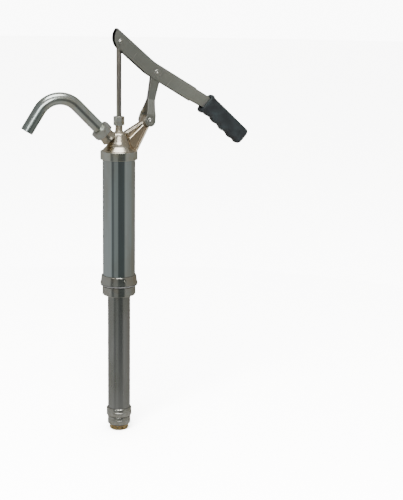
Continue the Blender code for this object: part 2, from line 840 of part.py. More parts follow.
def make_grip(m):
    """A loft of soft rectangles that swells into finger ridges underneath."""
    bm = bmesh.new()
    rings = [[bm.verts.new(p) for p in grip_section(*s)] for s in grip_stations()]
    for before, after in zip(rings, rings[1:]):
        for i in range(SMALL_ROUND):
            j = (i + 1) % SMALL_ROUND
            bm.faces.new((before[i], before[j], after[j], after[i]))
    bm.faces.new(rings[0])
    bm.faces.new(rings[-1])
    bmesh.ops.recalc_face_normals(bm, faces=bm.faces)
    mesh = bpy.data.meshes.new("lever_grip")
    bm.to_mesh(mesh)
    bm.free()
    mesh.shade_smooth()
    grip = add_object("lever_grip", mesh, m["grip"])
    frame = Frame(GRIP_START, GRIP_ANGLE)
    high, half = TANG_HALF + GAP, LEVER_WIDTH / 2 + GAP
    socket = [(-8.0, 13.4), (6.5, 13.4), (6.5, high), (TANG_END + 1.0, high)]
    socket += [(TANG_END + 1.0, -high), (6.5, -high), (6.5, -12.2), (-8.0, -12.2)]
    cut(grip, plate("grip_socket", [frame.at(u, v) for u, v in socket], half))


# Pivots of lever and link


def headed_pin(name, radius, head_radius, head, shank_end, pivot, material):
    """A pin along +Y with a domed head at its near end; head is (face, thickness)."""
    face, thickness = head
    profile = [
        (0.0, shank_end),
        (radius - 0.4, shank_end),
        (radius, shank_end - 0.4),
        (radius, face),
        (head_radius, face),
        (head_radius, face - thickness * 0.5),
        (head_radius - thickness * 0.5, face - thickness),
        (0.0, face - thickness),
    ]
    return across(turned(name, profile, material, 16, solid=True), pivot)


def make_pivots(m):
    side = LEVER_WIDTH / 2 + GAP
    rod_pin = headed_pin("rod_pin", PIVOT_PIN_R, 5.0, (-side, 2.2), side + 4.6, ROD_PIVOT, m["steel"])
    groove = ring("rod_pin_groove", PIVOT_PIN_R + 1.0, 2.4, side + 1.0, side + 2.2, sides=16)
    cut(rod_pin, across(groove, ROD_PIVOT))
    clip = ring("rod_pin_clip", 5.2, 2.6, side + 1.2, side + 2.0, m["steel"], 16)
    across(clip, ROD_PIVOT)
    slot = plate("clip_slot", [(-1.4, -8.0), (1.4, -8.0), (1.4, 0.0), (-1.4, 0.0)], 20.0)
    slot.location = Vector((ROD_PIVOT[0], 0.0, ROD_PIVOT[1])) * MM
    cut(clip, slot)
    inner = LEVER_WIDTH / 2 - LEVER_WALL - 0.1
    for name, way in (("fulcrum_rivet_near", -1.0), ("fulcrum_rivet_far", 1.0)):
        head = (-side, 2.6)
        rivet = headed_pin(name, FULCRUM_PIN_R, 6.5, head, -inner, FULCRUM, m["steel"])
        rivet.rotation_euler.x = way * math.pi / 2
    bush_half = LINK_INNER + LINK_T + 0.4
    across(ring("fulcrum_bush", 6.0, 4.3, -bush_half, bush_half, m["brass"], 16), FULCRUM)


def make_lug_pin(m):
    side = LINK_OUTER + LINK_T + GAP
    pin = headed_pin("lug_pin", LUG_PIN_R, 6.6, (-side, 3.0), side + 5.4, LUG_PIVOT, m["steel"])
    hole_y = side + 2.6
    hole = rod_shape("split_pin_hole", 1.3, -12.0, 12.0, sides=10)
    cut(pin, place(hole, (LUG_PIVOT[0], hole_y, LUG_PIVOT[1])))
    split = rod_shape("lug_split_pin", 1.0, -7.5, 7.5, m["steel"], 10, 0.3)
    place(split, (LUG_PIVOT[0], hole_y, LUG_PIVOT[1]))
    for name, sign in (("lug_washer_near", -1.0), ("lug_washer_far", 1.0)):
        washer = ring(name, 8.0, LUG_PIN_R + GAP, -0.95, 0.95, m["steel"], 20)
        across(washer, LUG_PIVOT)
        washer.location.y = sign * (LUG_HALF + LINK_OUTER) / 2 * MM


# Link


def link_outline(length):
    """The flat pattern of a link plate: two round eyes and a waist."""
    shoulder = 24.0
    lower = length - 20.0
    top = arc((0.0, 0.0), LINK_TOP_EYE_R, 180.0, 0.0, 8)
    bottom = arc((0.0, -length), LINK_EYE_R, 0.0, -180.0, 8)
    middle = (LINK_EYE_R + LINK_WAIST_R) / 2
    right = [(middle, -shoulder), (LINK_WAIST_R, -lower * 0.75), (LINK_WAIST_R, -lower)]
    left = [(-x, z) for x, z in reversed(right)]
    return [*top, *right, *bottom, *left]


def spread_outline(length):
    """The plate's edge, seen from the side: it leaves the lever and spreads to the lug."""
    inner = [
        (LINK_INNER, 15.0),
        (LINK_INNER, -LINK_SPREAD_START),
        (LINK_OUTER, -LINK_SPREAD_END),
        (LINK_OUTER, -length - 15.0),
    ]
    lean = math.atan2(LINK_OUTER - LINK_INNER, LINK_SPREAD_END - LINK_SPREAD_START)
    shift = LINK_T * math.tan(lean / 2)
    outer = [
        (LINK_OUTER + LINK_T, -length - 15.0),
        (LINK_OUTER + LINK_T, -LINK_SPREAD_END + shift),
        (LINK_INNER + LINK_T, -LINK_SPREAD_START + shift),
        (LINK_INNER + LINK_T, 15.0),
    ]
    return inner + outer


def make_links(m):
    reach = Vector((FULCRUM[0] - LUG_PIVOT[0], 0.0, FULCRUM[1] - LUG_PIVOT[1]))
    lean = math.atan2(reach.x, reach.z)
    turn = Matrix.Rotation(lean, 4, "Y")
    origin = Matrix.Translation(Vector((FULCRUM[0], 0.0, FULCRUM[1])) * MM)
    for name, side in (("link_plate_near", -1.0), ("link_plate_far", 1.0)):
        band = [(side * y, z) for y, z in spread_outline(reach.length)]
        link = plate(name, band, 15.0, m["zinc"])
        to_side = Matrix.Rotation(math.pi / 2, 4, "Z")
        link.matrix_world = origin @ turn @ to_side @ link.matrix_world
        pattern = plate(name + "_pattern", link_outline(reach.length), 30.0)
        pattern.matrix_world = origin @ turn @ pattern.matrix_world
        cut(link, pattern, "INTERSECT")
        cut(link, across(rod_shape(name + "_top_hole", 6.3, -30.0, 30.0, sides=16), FULCRUM))
        low = rod_shape(name + "_low_hole", LUG_PIN_R + GAP, -30.0, 30.0, sides=16)
        cut(link, across(low, LUG_PIVOT))


def main():
    global parts, cutters
    clear_scene()
    parts = new_collection("drum_pump")
    cutters = new_collection("cutters")
    m = make_materials()
    make_base(m)
    make_cylinder(m)
    make_head(m)
    make_gland(m)
    make_rod(m)
    make_piston(m)
    make_foot_valve(m)
    make_suction(m)
    make_strainer(m)
    make_spout(m)
    make_lever(m)
    make_grip(m)
    make_pivots(m)
    make_lug_pin(m)
    make_links(m)


main()
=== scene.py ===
"""Detailed looks for a lever-action drum pump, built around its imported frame.

Sizes of pieces are in millimetres and become metres through MM; the studio is in
metres. The origin is the centre of the base's seat, +Z runs up the cylinder, the hand
lever reaches towards +X and the spout towards -X.
"""

import json
import math

import bmesh
import bpy
from mathutils import Matrix, Vector


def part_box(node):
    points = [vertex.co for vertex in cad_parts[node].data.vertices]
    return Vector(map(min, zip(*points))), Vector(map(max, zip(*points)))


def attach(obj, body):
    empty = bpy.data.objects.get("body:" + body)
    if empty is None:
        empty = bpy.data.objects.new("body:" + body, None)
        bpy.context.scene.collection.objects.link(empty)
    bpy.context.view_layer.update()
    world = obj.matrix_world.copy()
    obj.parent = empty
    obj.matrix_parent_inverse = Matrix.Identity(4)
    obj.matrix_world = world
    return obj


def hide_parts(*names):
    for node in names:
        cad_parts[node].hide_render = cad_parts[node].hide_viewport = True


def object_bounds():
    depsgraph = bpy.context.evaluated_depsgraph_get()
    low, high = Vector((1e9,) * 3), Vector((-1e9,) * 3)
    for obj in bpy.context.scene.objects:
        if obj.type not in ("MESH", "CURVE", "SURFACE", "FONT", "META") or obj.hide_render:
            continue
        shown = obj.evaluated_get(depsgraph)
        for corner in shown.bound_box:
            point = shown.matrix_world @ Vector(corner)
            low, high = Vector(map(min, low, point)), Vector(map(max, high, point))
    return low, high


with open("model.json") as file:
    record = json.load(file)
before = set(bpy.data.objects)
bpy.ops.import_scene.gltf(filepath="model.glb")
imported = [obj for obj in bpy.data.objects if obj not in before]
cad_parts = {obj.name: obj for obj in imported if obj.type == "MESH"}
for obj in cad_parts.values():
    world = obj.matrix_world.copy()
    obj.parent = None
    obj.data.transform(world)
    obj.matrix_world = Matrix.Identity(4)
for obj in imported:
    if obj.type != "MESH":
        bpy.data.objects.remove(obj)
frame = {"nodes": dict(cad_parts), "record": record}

bl_info = {
    "name": "Drum pump looks",
    "version": (1, 0, 0),
    "blender": (4, 5, 0),
    "location": "View3D > Sidebar > Drum pump",
    "description": "Builds the pump's detailed pieces, finishes and studio",
    "category": "Object",
}

CAD_BOX = [list(corner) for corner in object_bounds()]
MM = 0.001
ROUND_SIDES = 96
PIN_SIDES = 40
THREAD_PITCH = 2.309
HEAD_CENTRE = 240.5
ROD_PIVOT = (0.0, 421.7)
FULCRUM = (67.4, 368.0)
LUG_PIVOT = (51.0, 286.8)
ARM_BACK = ((29.6, 234.6), (53.4, 280.4))
GRIP_START = (163.25, 313.05)
LEVER_BEND = (70.4, 14.8)
CHANNEL_DEPTH = 25.0
SPOUT_LEAN = math.radians(45.0)
LEVER_FRONT_LEAN = math.radians(40.5)
LEVER_REAR_LEAN = math.radians(30.6)
GRIP_LEAN = math.radians(42.1)
GRAIN_LEAN = math.radians(35.0)


def scaled(colour, share):
    """A colour made darker, or with a share over 1 lighter."""
    return tuple(c * share for c in colour)


def deepest(node, axis):
    """The lowest coordinate of a CAD node along an axis, in millimetres."""
    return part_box(node)[0][axis] / MM


def highest(node, axis):
    """The highest coordinate of a CAD node along an axis, in millimetres."""
    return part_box(node)[1][axis] / MM


# Shader maths


class Value:
    """A number that varies over a surface. Arithmetic on it adds Math nodes."""

    def __init__(self, finish, socket):
        self.finish = finish
        self.socket = socket

    def math(self, operation, *operands):
        """The result of a Math node on these operands."""
        node = self.finish.node("ShaderNodeMath", {"operation": operation}, dict(enumerate(operands)))
        return Value(self.finish, node.outputs[0])

    def __add__(self, other):
        return self.math("ADD", self, other)

    def __radd__(self, other):
        return self.math("ADD", other, self)

    def __sub__(self, other):
        return self.math("SUBTRACT", self, other)

    def __rsub__(self, other):
        return self.math("SUBTRACT", other, self)

    def __mul__(self, other):
        return self.math("MULTIPLY", self, other)

    def __rmul__(self, other):
        return self.math("MULTIPLY", other, self)

    def __abs__(self):
        return self.math("ABSOLUTE", self)


class Finish:
    """A procedural material on the object's own coordinates."""

    def __init__(self, name, metallic=1.0, **uniform):
        self.material = bpy.data.materials.new(name)
        self.material.use_nodes = True
        self.tree = self.material.node_tree
        self.shader = self.tree.nodes["Principled BSDF"]
        self.shader.inputs["Metallic"].default_value = metallic
        for socket, value in uniform.items():
            self.shader.inputs[socket.replace("_", " ")].default_value = value
        self.place = self.node("ShaderNodeTexCoord").outputs["Object"]

    def node(self, kind, settings=None, sockets=None):
        """A node with its settings, then the values or links of its sockets."""
        node = self.tree.nodes.new(kind)
        for name, value in (settings or {}).items():
            if name == "stops":
                self.set_stops(node.color_ramp, value)
            else:
                setattr(node, name, value)
        for key, value in (sockets or {}).items():
            if isinstance(value, Value):
                value = value.socket
            if isinstance(value, bpy.types.NodeSocket):
                self.tree.links.new(value, node.inputs[key])
            else:
                node.inputs[key].default_value = value
        return node

    def set_stops(self, ramp, stops):
        """Fills a colour ramp with (position, colour) stops."""
        while len(ramp.elements) < len(stops):
            ramp.elements.new(1.0)
        for element, (position, colour) in zip(ramp.elements, stops):
            element.position = position
            element.color = (*colour, 1.0) if isinstance(colour, tuple) else (colour,) * 3 + (1.0,)

    def stretched(self, scale, turn=0.0):
        """Object coordinates turned about Y and scaled, so that a grain can run one way."""
        sockets = {"Vector": self.place, "Rotation": (0.0, turn, 0.0)}
        turned_place = self.node("ShaderNodeMapping", {}, sockets).outputs[0]
        return self.node("ShaderNodeMapping", {}, {"Vector": turned_place, "Scale": scale}).outputs[0]

    def noise(self, scale, detail=3.0, stretch=None, turn=0.0, roughness=0.55):
        """Noise from 0 to 1, stretched along a grain if one is given."""
        vector = self.stretched(stretch, turn) if stretch else self.place
        sockets = {"Vector": vector, "Scale": scale, "Detail": detail, "Roughness": roughness}
        return Value(self, self.node("ShaderNodeTexNoise", {}, sockets).outputs[0])

    def cells(self, scale):
        """The distance to the middle of the nearest cell."""
        sockets = {"Vector": self.place, "Scale": scale}
        return Value(self, self.node("ShaderNodeTexVoronoi", {}, sockets).outputs["Distance"])

    def spread(self, value, low, high, out_low=0.0, out_high=1.0):
        """The value's range from low to high mapped smoothly to another."""
        settings = {"interpolation_type": "SMOOTHSTEP"}
        sockets = {"Value": value, "From Min": low, "From Max": high}
        sockets.update({"To Min": out_low, "To Max": out_high})
        return Value(self, self.node("ShaderNodeMapRange", settings, sockets).outputs[0])

    def along(self, axis):
        """The coordinate along X, Y or Z."""
        return Value(self, self.node("ShaderNodeSeparateXYZ", {}, {0: self.place}).outputs[axis])

    def edge_wear_and_highlight(self, reach=0.5 * MM):
        """1 along edges and corners, within their reach. Blended pale it is rubbed plating; on the casting
        it is also a painted highlight.
        """
        rounded_normal = self.node("ShaderNodeBevel", {"samples": 4}, {"Radius": reach}).outputs[0]
        true_normal = self.node("ShaderNodeNewGeometry").outputs["Normal"]
        sockets = {0: rounded_normal, 1: true_normal}
        turn = self.node("ShaderNodeVectorMath", {"operation": "DOT_PRODUCT"}, sockets).outputs["Value"]
        return self.spread(1.0 - Value(self, turn), 0.01, 0.12)

    def hollow_dust_and_shade(self, reach=4.0 * MM):
        """1 deep in corners and crevices. Blended to a dark colour it is painted shade; the grip blends it
        to grey dust.
        """
        node = self.node("ShaderNodeAmbientOcclusion", {"samples": 6}, {"Distance": reach})
        return self.spread(Value(self, node.outputs["AO"]), 0.35, 0.85, 1.0, 0.0)

    def blend(self, factor, first, second):
        """A colour between two, by a factor."""
        sockets = {"Factor": factor, 6: self.as_colour(first), 7: self.as_colour(second)}
        node = self.node("ShaderNodeMix", {"data_type": "RGBA"}, sockets)
        return node.outputs[2]

    def as_colour(self, colour):
        """A socket as it is, or a plain colour with its alpha."""
        return colour if isinstance(colour, bpy.types.NodeSocket) else (*colour[:3], 1.0)

    def set(self, colour=None, roughness=None, metallic=None, bump=None, distance=0.1 * MM, strength=0.5):
        """Links what varies to the shader."""
        for name, value in (("Base Color", colour), ("Roughness", roughness), ("Metallic", metallic)):
            if value is not None:
                socket = value.socket if isinstance(value, Value) else value
                self.tree.links.new(socket, self.shader.inputs[name])
        if bump is not None:
            sockets = {"Height": bump, "Distance": distance, "Strength": strength}
            node = self.node("ShaderNodeBump", {}, sockets)
            self.tree.links.new(node.outputs[0], self.shader.inputs["Normal"])
        return self.material


def polished_chrome(name, tint, film, shine):
    """Plated tube: long drawing lines, a faint oily film and small scratches."""
    finish = Finish(name)
    lines = finish.noise(900.0, 4.0, stretch=(1.0, 1.0, 0.02))
    smears = finish.noise(26.0, 5.0, stretch=(1.0, 1.0, 0.35))
    scratches = finish.spread(finish.noise(1200.0, 2.0, stretch=(1.0, 1.0, 0.012)), 0.66, 0.74)
    colour = finish.blend(finish.spread(smears, 0.42, 0.68), tint, film)
    colour = finish.blend(finish.spread(lines, 0.35, 0.75) * 0.35, colour, scaled(tint, 0.8))
    # Painted shade: darker film colour deep in corners, in crevices and close to other parts.
    colour = finish.blend(finish.hollow_dust_and_shade() * 0.6, colour, scaled(film, 0.35))
    roughness = shine + 0.06 * lines + 0.1 * finish.spread(smears, 0.5, 0.75) + 0.06 * scratches
    return finish.set(colour, roughness, bump=lines - 0.3 * scratches, distance=0.01 * MM, strength=0.3)


def bent_chrome(name, tint, film):
    """Plated bent tube: warm film, rub marks, and a duller blue-green end at the mouth."""
    finish = Finish(name)
    smears = finish.noise(55.0, 5.0)
    fine = finish.noise(1100.0, 4.0, stretch=(1.0, 0.25, 1.0))
    colour = finish.blend(finish.spread(smears, 0.4, 0.7), tint, film)
    mouth_end = finish.spread(finish.along("X"), -125.0 * MM, -145.0 * MM)
    colour = finish.blend(mouth_end * 0.8, colour, (0.3, 0.36, 0.35))
    roughness = 0.23 + 0.02 * fine + 0.03 * finish.spread(smears, 0.52, 0.8)
    return finish.set(colour, roughness, bump=fine, distance=0.001 * MM, strength=0.1)


def plated_casting(name, tint, warm, dark):
    """Plated casting: polished, but dull on the arm's web and back and on the neck, where it is also
    painted darker as painted shade; painted shade in crevices, and pale edges that are partly a painted
    highlight.
    """
    finish = Finish(name)
    x, y, z = (finish.along(axis) for axis in "XYZ")
    raised = finish.spread(abs(y), 3.0 * MM, 4.6 * MM)
    web = finish.spread(x, 13.0 * MM, 20.0 * MM) * (1.0 - raised)
    run = (Vector(ARM_BACK[1]) - Vector(ARM_BACK[0])).normalized()
    past_back = run.y * (x - ARM_BACK[0][0] * MM) - run.x * (z - ARM_BACK[0][1] * MM)
    back = finish.spread(past_back, -4.0 * MM, -2.0 * MM)
    beside = finish.spread(x, 8.0 * MM, 11.0 * MM)
    neck = finish.spread(z, 265.5 * MM, 268.5 * MM) * (1.0 - beside)
    skin = finish.noise(620.0, 5.0, roughness=0.65)
    pits = finish.spread(finish.cells(430.0), 0.12, 0.32, 1.0, 0.0)
    patches = finish.noise(48.0, 4.0)
    hollow_shade = finish.hollow_dust_and_shade()
    colour = finish.blend(finish.spread(patches, 0.38, 0.66), tint, warm)
    # Painted shade: darker deep in corners and crevices.
    colour = finish.blend(hollow_shade * 0.7, colour, dark)
    colour = finish.blend(pits * 0.25, colour, dark)
    # Painted shade: the recessed web between the ribs is painted brown.
    colour = finish.blend(web * 0.8, colour, (0.42, 0.33, 0.22))
    # Pale edges: partly rubbed plating, partly a painted highlight along the ribs.
    colour = finish.blend(finish.edge_wear_and_highlight() * 0.6, colour, (0.88, 0.84, 0.74))
    # Painted shade: the arm's back and the neck are painted darker brown.
    colour = finish.blend(back * 0.85, colour, (0.3, 0.25, 0.18))
    colour = finish.blend(neck * 0.7, colour, (0.36, 0.32, 0.25))
    roughness = 0.17 + 0.12 * skin + 0.16 * hollow_shade + 0.08 * pits + 0.2 * web + 0.15 * back + 0.3 * neck
    height = skin * 0.5 - pits * 0.4
    return finish.set(colour, roughness, bump=height, distance=0.05 * MM, strength=0.35)


def turned_plate(name, tint, warm, dark):
    """Plated and turned all over: fine rings, a thin brown film and painted shade in corners."""
    finish = Finish(name)
    rings = finish.noise(1500.0, 3.0, stretch=(0.04, 0.04, 1.0))
    film = finish.noise(40.0, 4.0)
    colour = finish.blend(finish.spread(film, 0.38, 0.68), tint, warm)
    # Painted shade: darker deep in corners and crevices.
    colour = finish.blend(finish.hollow_dust_and_shade() * 0.8, colour, dark)
    colour = finish.blend(finish.edge_wear_and_highlight() * 0.7, colour, (0.85, 0.85, 0.8))
    roughness = 0.11 + 0.08 * rings + 0.1 * finish.spread(film, 0.5, 0.8)
    return finish.set(colour, roughness, bump=rings, distance=0.02 * MM, strength=0.35)


def rolled_zinc(name, tint, cloud, bright):
    """Zinc-plated sheet: grain along it, clouds, painted shade towards the front end and painted light
    towards the rear, rubbed edges.
    """
    finish = Finish(name)
    grain = finish.noise(1300.0, 3.0, stretch=(0.05, 1.0, 1.0), turn=GRAIN_LEAN)
    cloud_mask = finish.noise(38.0, 6.0, stretch=(0.6, 1.0, 1.0), turn=GRAIN_LEAN)
    tint_mask = finish.noise(17.0, 3.0)
    scratch = finish.noise(520.0, 2.0, stretch=(0.04, 1.0, 1.0), turn=GRAIN_LEAN + 0.3)
    scratches = finish.spread(scratch, 0.68, 0.74)
    colour = finish.blend(finish.spread(cloud_mask, 0.35, 0.7), tint, cloud)
    colour = finish.blend(finish.spread(tint_mask, 0.5, 0.75) * 0.4, colour, (0.36, 0.42, 0.42))
    reach = finish.along("X")
    # Painted shade towards the front end near X = 0, then painted light towards the rear beyond X = 60 mm.
    colour = finish.blend(finish.spread(reach, 90.0 * MM, 0.0) * 0.5, colour, scaled(tint, 0.45))
    colour = finish.blend(finish.spread(reach, 60.0 * MM, 150.0 * MM) * 0.55, colour, scaled(tint, 1.5))
    colour = finish.blend(grain * 0.25, colour, scaled(tint, 0.72))
    colour = finish.blend(finish.edge_wear_and_highlight() * 0.75, colour, bright)
    colour = finish.blend(scratches * 0.5, colour, bright)
    roughness = 0.34 + 0.14 * grain + 0.12 * finish.spread(cloud_mask, 0.4, 0.75) - 0.12 * scratches
    return finish.set(colour, roughness, bump=grain - 0.5 * scratches, distance=0.05 * MM, strength=0.4)


def satin_steel(name, tint, dark, bright, scale=1.0, shine=0.24):
    """Plated steel nut or pin: turned marks, rubbed corners and painted shade in crevices."""
    finish = Finish(name)
    marks = finish.noise(1400.0 * scale, 3.0, stretch=(0.25, 0.25, 1.0))
    patches = finish.noise(120.0 * scale, 5.0)
    colour = finish.blend(finish.spread(patches, 0.35, 0.7), tint, dark)
    # Painted shade: darker deep in corners and crevices.
    colour = finish.blend(finish.hollow_dust_and_shade() * 0.7, colour, scaled(dark, 0.3))
    colour = finish.blend(finish.edge_wear_and_highlight(), colour, bright)
    roughness = shine + 0.12 * marks + 0.1 * finish.spread(patches, 0.5, 0.8)
    return finish.set(colour, roughness, bump=marks + patches * 0.6, distance=0.04 * MM, strength=0.45)


def dipped_vinyl(name, tint, sheen_tint):
    """Dipped vinyl: fine pebbled skin, soft shine where the hand rubs, grey dust deep in corners."""
    finish = Finish(name, 0.0, Coat_Roughness=0.35, IOR=1.37)
    pebble = finish.cells(1500.0)
    skin = finish.noise(2100.0, 3.0)
    rub = finish.noise(45.0, 4.0)
    colour = finish.blend(finish.spread(rub, 0.35, 0.7), tint, sheen_tint)
    colour = finish.blend(finish.hollow_dust_and_shade(2.0 * MM) * 0.35, colour, (0.012, 0.011, 0.01))
    roughness = 0.44 + 0.16 * skin - 0.1 * finish.spread(rub, 0.45, 0.7)
    finish.shader.inputs["Coat Weight"].default_value = 0.05
    return finish.set(colour, roughness, bump=pebble + 0.5 * skin, distance=0.12 * MM, strength=0.45)


def black_rubber(name, tint):
    """Moulded rubber: matt, with a pale bloom."""
    finish = Finish(name, 0.0)
    bloom = finish.noise(160.0, 5.0)
    skin = finish.noise(1900.0, 3.0)
    colour = finish.blend(finish.spread(bloom, 0.45, 0.8) * 0.6, tint, (0.05, 0.05, 0.048))
    roughness = 0.62 + 0.2 * bloom
    return finish.set(colour, roughness, bump=skin, distance=0.06 * MM, strength=0.5)


def machined_brass(name, tint, tarnish):
    """Turned brass with tool marks and brown tarnish."""
    finish = Finish(name)
    tool = finish.noise(2600.0, 2.0, stretch=(0.08, 0.08, 1.0))
    patches = finish.noise(90.0, 5.0)
    colour = finish.blend(finish.spread(patches, 0.42, 0.72), tint, tarnish)
    # Painted shade: darker brown deep in corners and crevices.
    colour = finish.blend(finish.hollow_dust_and_shade() * 0.6, colour, (0.16, 0.1, 0.04))
    roughness = 0.2 + 0.16 * tool + 0.12 * finish.spread(patches, 0.5, 0.8)
    return finish.set(colour, roughness, bump=tool, distance=0.04 * MM, strength=0.4)


# Modelling


def begin(name):
    """Names the new primitive and opens it with everything selected."""
    piece = bpy.context.active_object
    piece.name = name
    piece.data.name = name
    bpy.ops.object.transform_apply(location=True, rotation=True, scale=True)
    bpy.ops.object.mode_set(mode="EDIT")
    bpy.ops.mesh.select_mode(type="VERT")
    bpy.ops.mesh.select_all(action="SELECT")
    return piece


def end(piece):
    """Turns every face outwards and closes edit mode."""
    bpy.ops.mesh.select_all(action="SELECT")
    bpy.ops.mesh.normals_make_consistent(inside=False)
    bpy.ops.object.mode_set(mode="OBJECT")
    return piece


def deselect():
    """Leaves nothing selected, as a new primitive needs."""
    bpy.ops.object.select_all(action="DESELECT")


def pick(piece, kind, chosen):
    """Selects only the edit mesh's verts, edges or faces that pass a test."""
    mode = {"verts": "VERT", "edges": "EDGE", "faces": "FACE"}[kind]
    bpy.ops.mesh.select_mode(type=mode)
    bpy.ops.mesh.select_all(action="DESELECT")
    mesh = bmesh.from_edit_mesh(piece.data)
    for element in getattr(mesh, kind):
        if chosen(element):
            element.select_set(True)
    bmesh.update_edit_mesh(piece.data)


def only(piece):
    """Selects one piece and makes it active."""
    deselect()
    piece.select_set(True)
    bpy.context.view_layer.objects.active = piece


def applied(piece, kind, **settings):
    """Adds a modifier, sets it up and applies it."""
    only(piece)
    modifier = piece.modifiers.new(kind, kind)
    for name, value in settings.items():
        setattr(modifier, name, value)
    bpy.ops.object.modifier_apply(modifier=modifier.name)
    return piece


def eased(piece, width, segments=2, angle=40.0):
    """Small rounded edges all over."""
    settings = {"width": width * MM, "segments": segments, "limit_method": "ANGLE"}
    return applied(piece, "BEVEL", angle_limit=math.radians(angle), use_clamp_overlap=True, **settings)


def carve(piece, cutter, operation="DIFFERENCE"):
    """Cuts a piece with another, or joins or intersects them, and removes the other."""
    applied(piece, "BOOLEAN", operation=operation, solver="EXACT", object=cutter)
    bpy.data.objects.remove(cutter)
    return piece


def moved(piece, matrix):
    """Puts the piece in place and leaves its object at the origin."""
    only(piece)
    piece.matrix_world = matrix
    bpy.ops.object.transform_apply(location=True, rotation=True, scale=True)
    return piece


def dressed(piece, body, slot, nodes=(), angle=35.0, finishes=None, flat_faces=True):
    """Smooths a finished piece, gives it its finish and hangs it on its body."""
    only(piece)
    bpy.ops.object.shade_smooth_by_angle(angle=math.radians(angle))
    if flat_faces:
        applied(piece, "WEIGHTED_NORMAL", keep_sharp=True, weight=80)
    slots = piece.data.materials
    for index, finish in enumerate(finishes or (slot,)):
        if index == len(slots):
            slots.append(None)
        slots[index] = FINISHES[finish]
    if nodes:
        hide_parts(*nodes)
    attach(piece, body)
    return piece


def turned(name, profile, sides=ROUND_SIDES, closed=False):
    """A shape turned about Z from (radius, height) points in millimetres.

    The points run down the outside. A closed profile comes back up the inside; an
    open one is capped at both ends.
    """
    deselect()
    radius, height = profile[0]
    fill = "NOTHING" if closed else "NGON"
    bpy.ops.mesh.primitive_circle_add(
        vertices=sides, radius=radius * MM, location=(0.0, 0.0, height * MM), fill_type=fill
    )
    piece = begin(name)
    extrude = bpy.ops.mesh.extrude_edges_move if closed else bpy.ops.mesh.extrude_region_move
    for (r0, z0), (r1, z1) in zip(profile, profile[1:]):
        extrude(TRANSFORM_OT_translate={"value": (0.0, 0.0, (z1 - z0) * MM)})
        if r1 != r0:
            bpy.ops.transform.resize(value=(r1 / r0, r1 / r0, 1.0), center_override=(0.0, 0.0, z1 * MM))
    if closed:
        bpy.ops.mesh.select_all(action="DESELECT")
        bpy.ops.mesh.select_non_manifold()
        bpy.ops.mesh.bridge_edge_loops()
    return end(piece)


def ring(name, outer, inner, low, high, sides=ROUND_SIDES):
    """A plain ring or tube on Z."""
    return turned(name, [(outer, high), (outer, low), (inner, low), (inner, high)], sides, closed=True)


def bar(name, radius, low, high, sides=PIN_SIDES):
    """A solid round bar on Z."""
    return turned(name, [(radius, high), (radius, low)], sides)


def traced(name, outline, low, high):
    """A plate from y = low to y = high round an outline of (x, z) corners."""
    deselect()
    x, z = outline[0]
    bpy.ops.mesh.primitive_plane_add(size=MM, location=(x * MM, low * MM, z * MM))
    piece = begin(name)
    bpy.ops.mesh.merge(type="CENTER")
    for (x0, z0), (x1, z1) in zip(outline, outline[1:]):
        step = ((x1 - x0) * MM, 0.0, (z1 - z0) * MM)
        bpy.ops.mesh.extrude_vertices_move(TRANSFORM_OT_translate={"value": step})
    pick(piece, "verts", lambda vert: len(vert.link_edges) == 1)
    bpy.ops.mesh.edge_face_add()
    bpy.ops.mesh.select_all(action="SELECT")
    bpy.ops.mesh.edge_face_add()
    bpy.ops.mesh.extrude_region_move(TRANSFORM_OT_translate={"value": (0.0, (high - low) * MM, 0.0)})
    return end(piece)


def hex_nut(name, flats, low, high, turn=0.0):
    """A six-sided bar along Z with soft corners, turned off at both ends."""
    corner = flats / math.sqrt(3.0)
    deselect()
    bpy.ops.mesh.primitive_cylinder_add(
        vertices=6,
        radius=corner * MM,
        depth=(high - low) * MM,
        location=(0.0, 0.0, (low + high) / 2 * MM),
        rotation=(0.0, 0.0, turn),
    )
    piece = begin(name)
    pick(piece, "edges", lambda edge: abs(edge.verts[0].co.z - edge.verts[1].co.z) > MM)
    bpy.ops.mesh.bevel(offset=flats * 0.04 * MM, segments=4)
    end(piece)
    drop = (corner - flats / 2) * 0.62
    edge = flats / 2 - 0.25
    profile = [(edge, high + 1.0), (edge, high), (corner + 0.2, high - drop)]
    profile += [(corner + 0.2, low + drop), (edge, low), (edge, low - 1.0)]
    return carve(piece, turned(name + "_barrel", profile), "INTERSECT")


def across(pivot, y=0.0, way=1.0):
    """Lays a piece turned about Z along Y, through a pivot."""
    shift = Matrix.Translation(Vector((pivot[0], y, pivot[1])) * MM)
    return shift @ Matrix.Rotation(-way * math.pi / 2, 4, "X")


def on_spout():
    """Takes a piece turned about Z to the spout's axis."""
    return Matrix.Translation((0.0, 0.0, HEAD_CENTRE * MM)) @ Matrix.Rotation(-SPOUT_LEAN, 4, "Y")


class Line:
    """A direction in the XZ plane: u runs down along it and v stands square above it."""

    def __init__(self, start, lean):
        self.start = start
        self.lean = lean

    def at(self, u, v):
        """The (x, z) of a point u down the line and v above it."""
        c, s = math.cos(self.lean), math.sin(self.lean)
        return (self.start[0] + u * c + v * s, self.start[1] - u * s + v * c)

    def matrix(self):
        """Takes (width, v, u) to the pump's frame."""
        c, s = math.cos(self.lean), math.sin(self.lean)
        columns = ((0.0, 1.0, 0.0), (s, 0.0, c), (c, 0.0, -s))
        rows = [[column[i] for column in columns] for i in range(3)]
        place = Matrix.Translation(Vector((self.start[0], 0.0, self.start[1])) * MM)
        return place @ Matrix(rows).to_4x4()


LEVER_FRONT = Line(ROD_PIVOT, LEVER_FRONT_LEAN)
LEVER_REAR = Line(LEVER_FRONT.at(*LEVER_BEND), LEVER_REAR_LEAN)
GRIP_LINE = Line(GRIP_START, GRIP_LEAN)


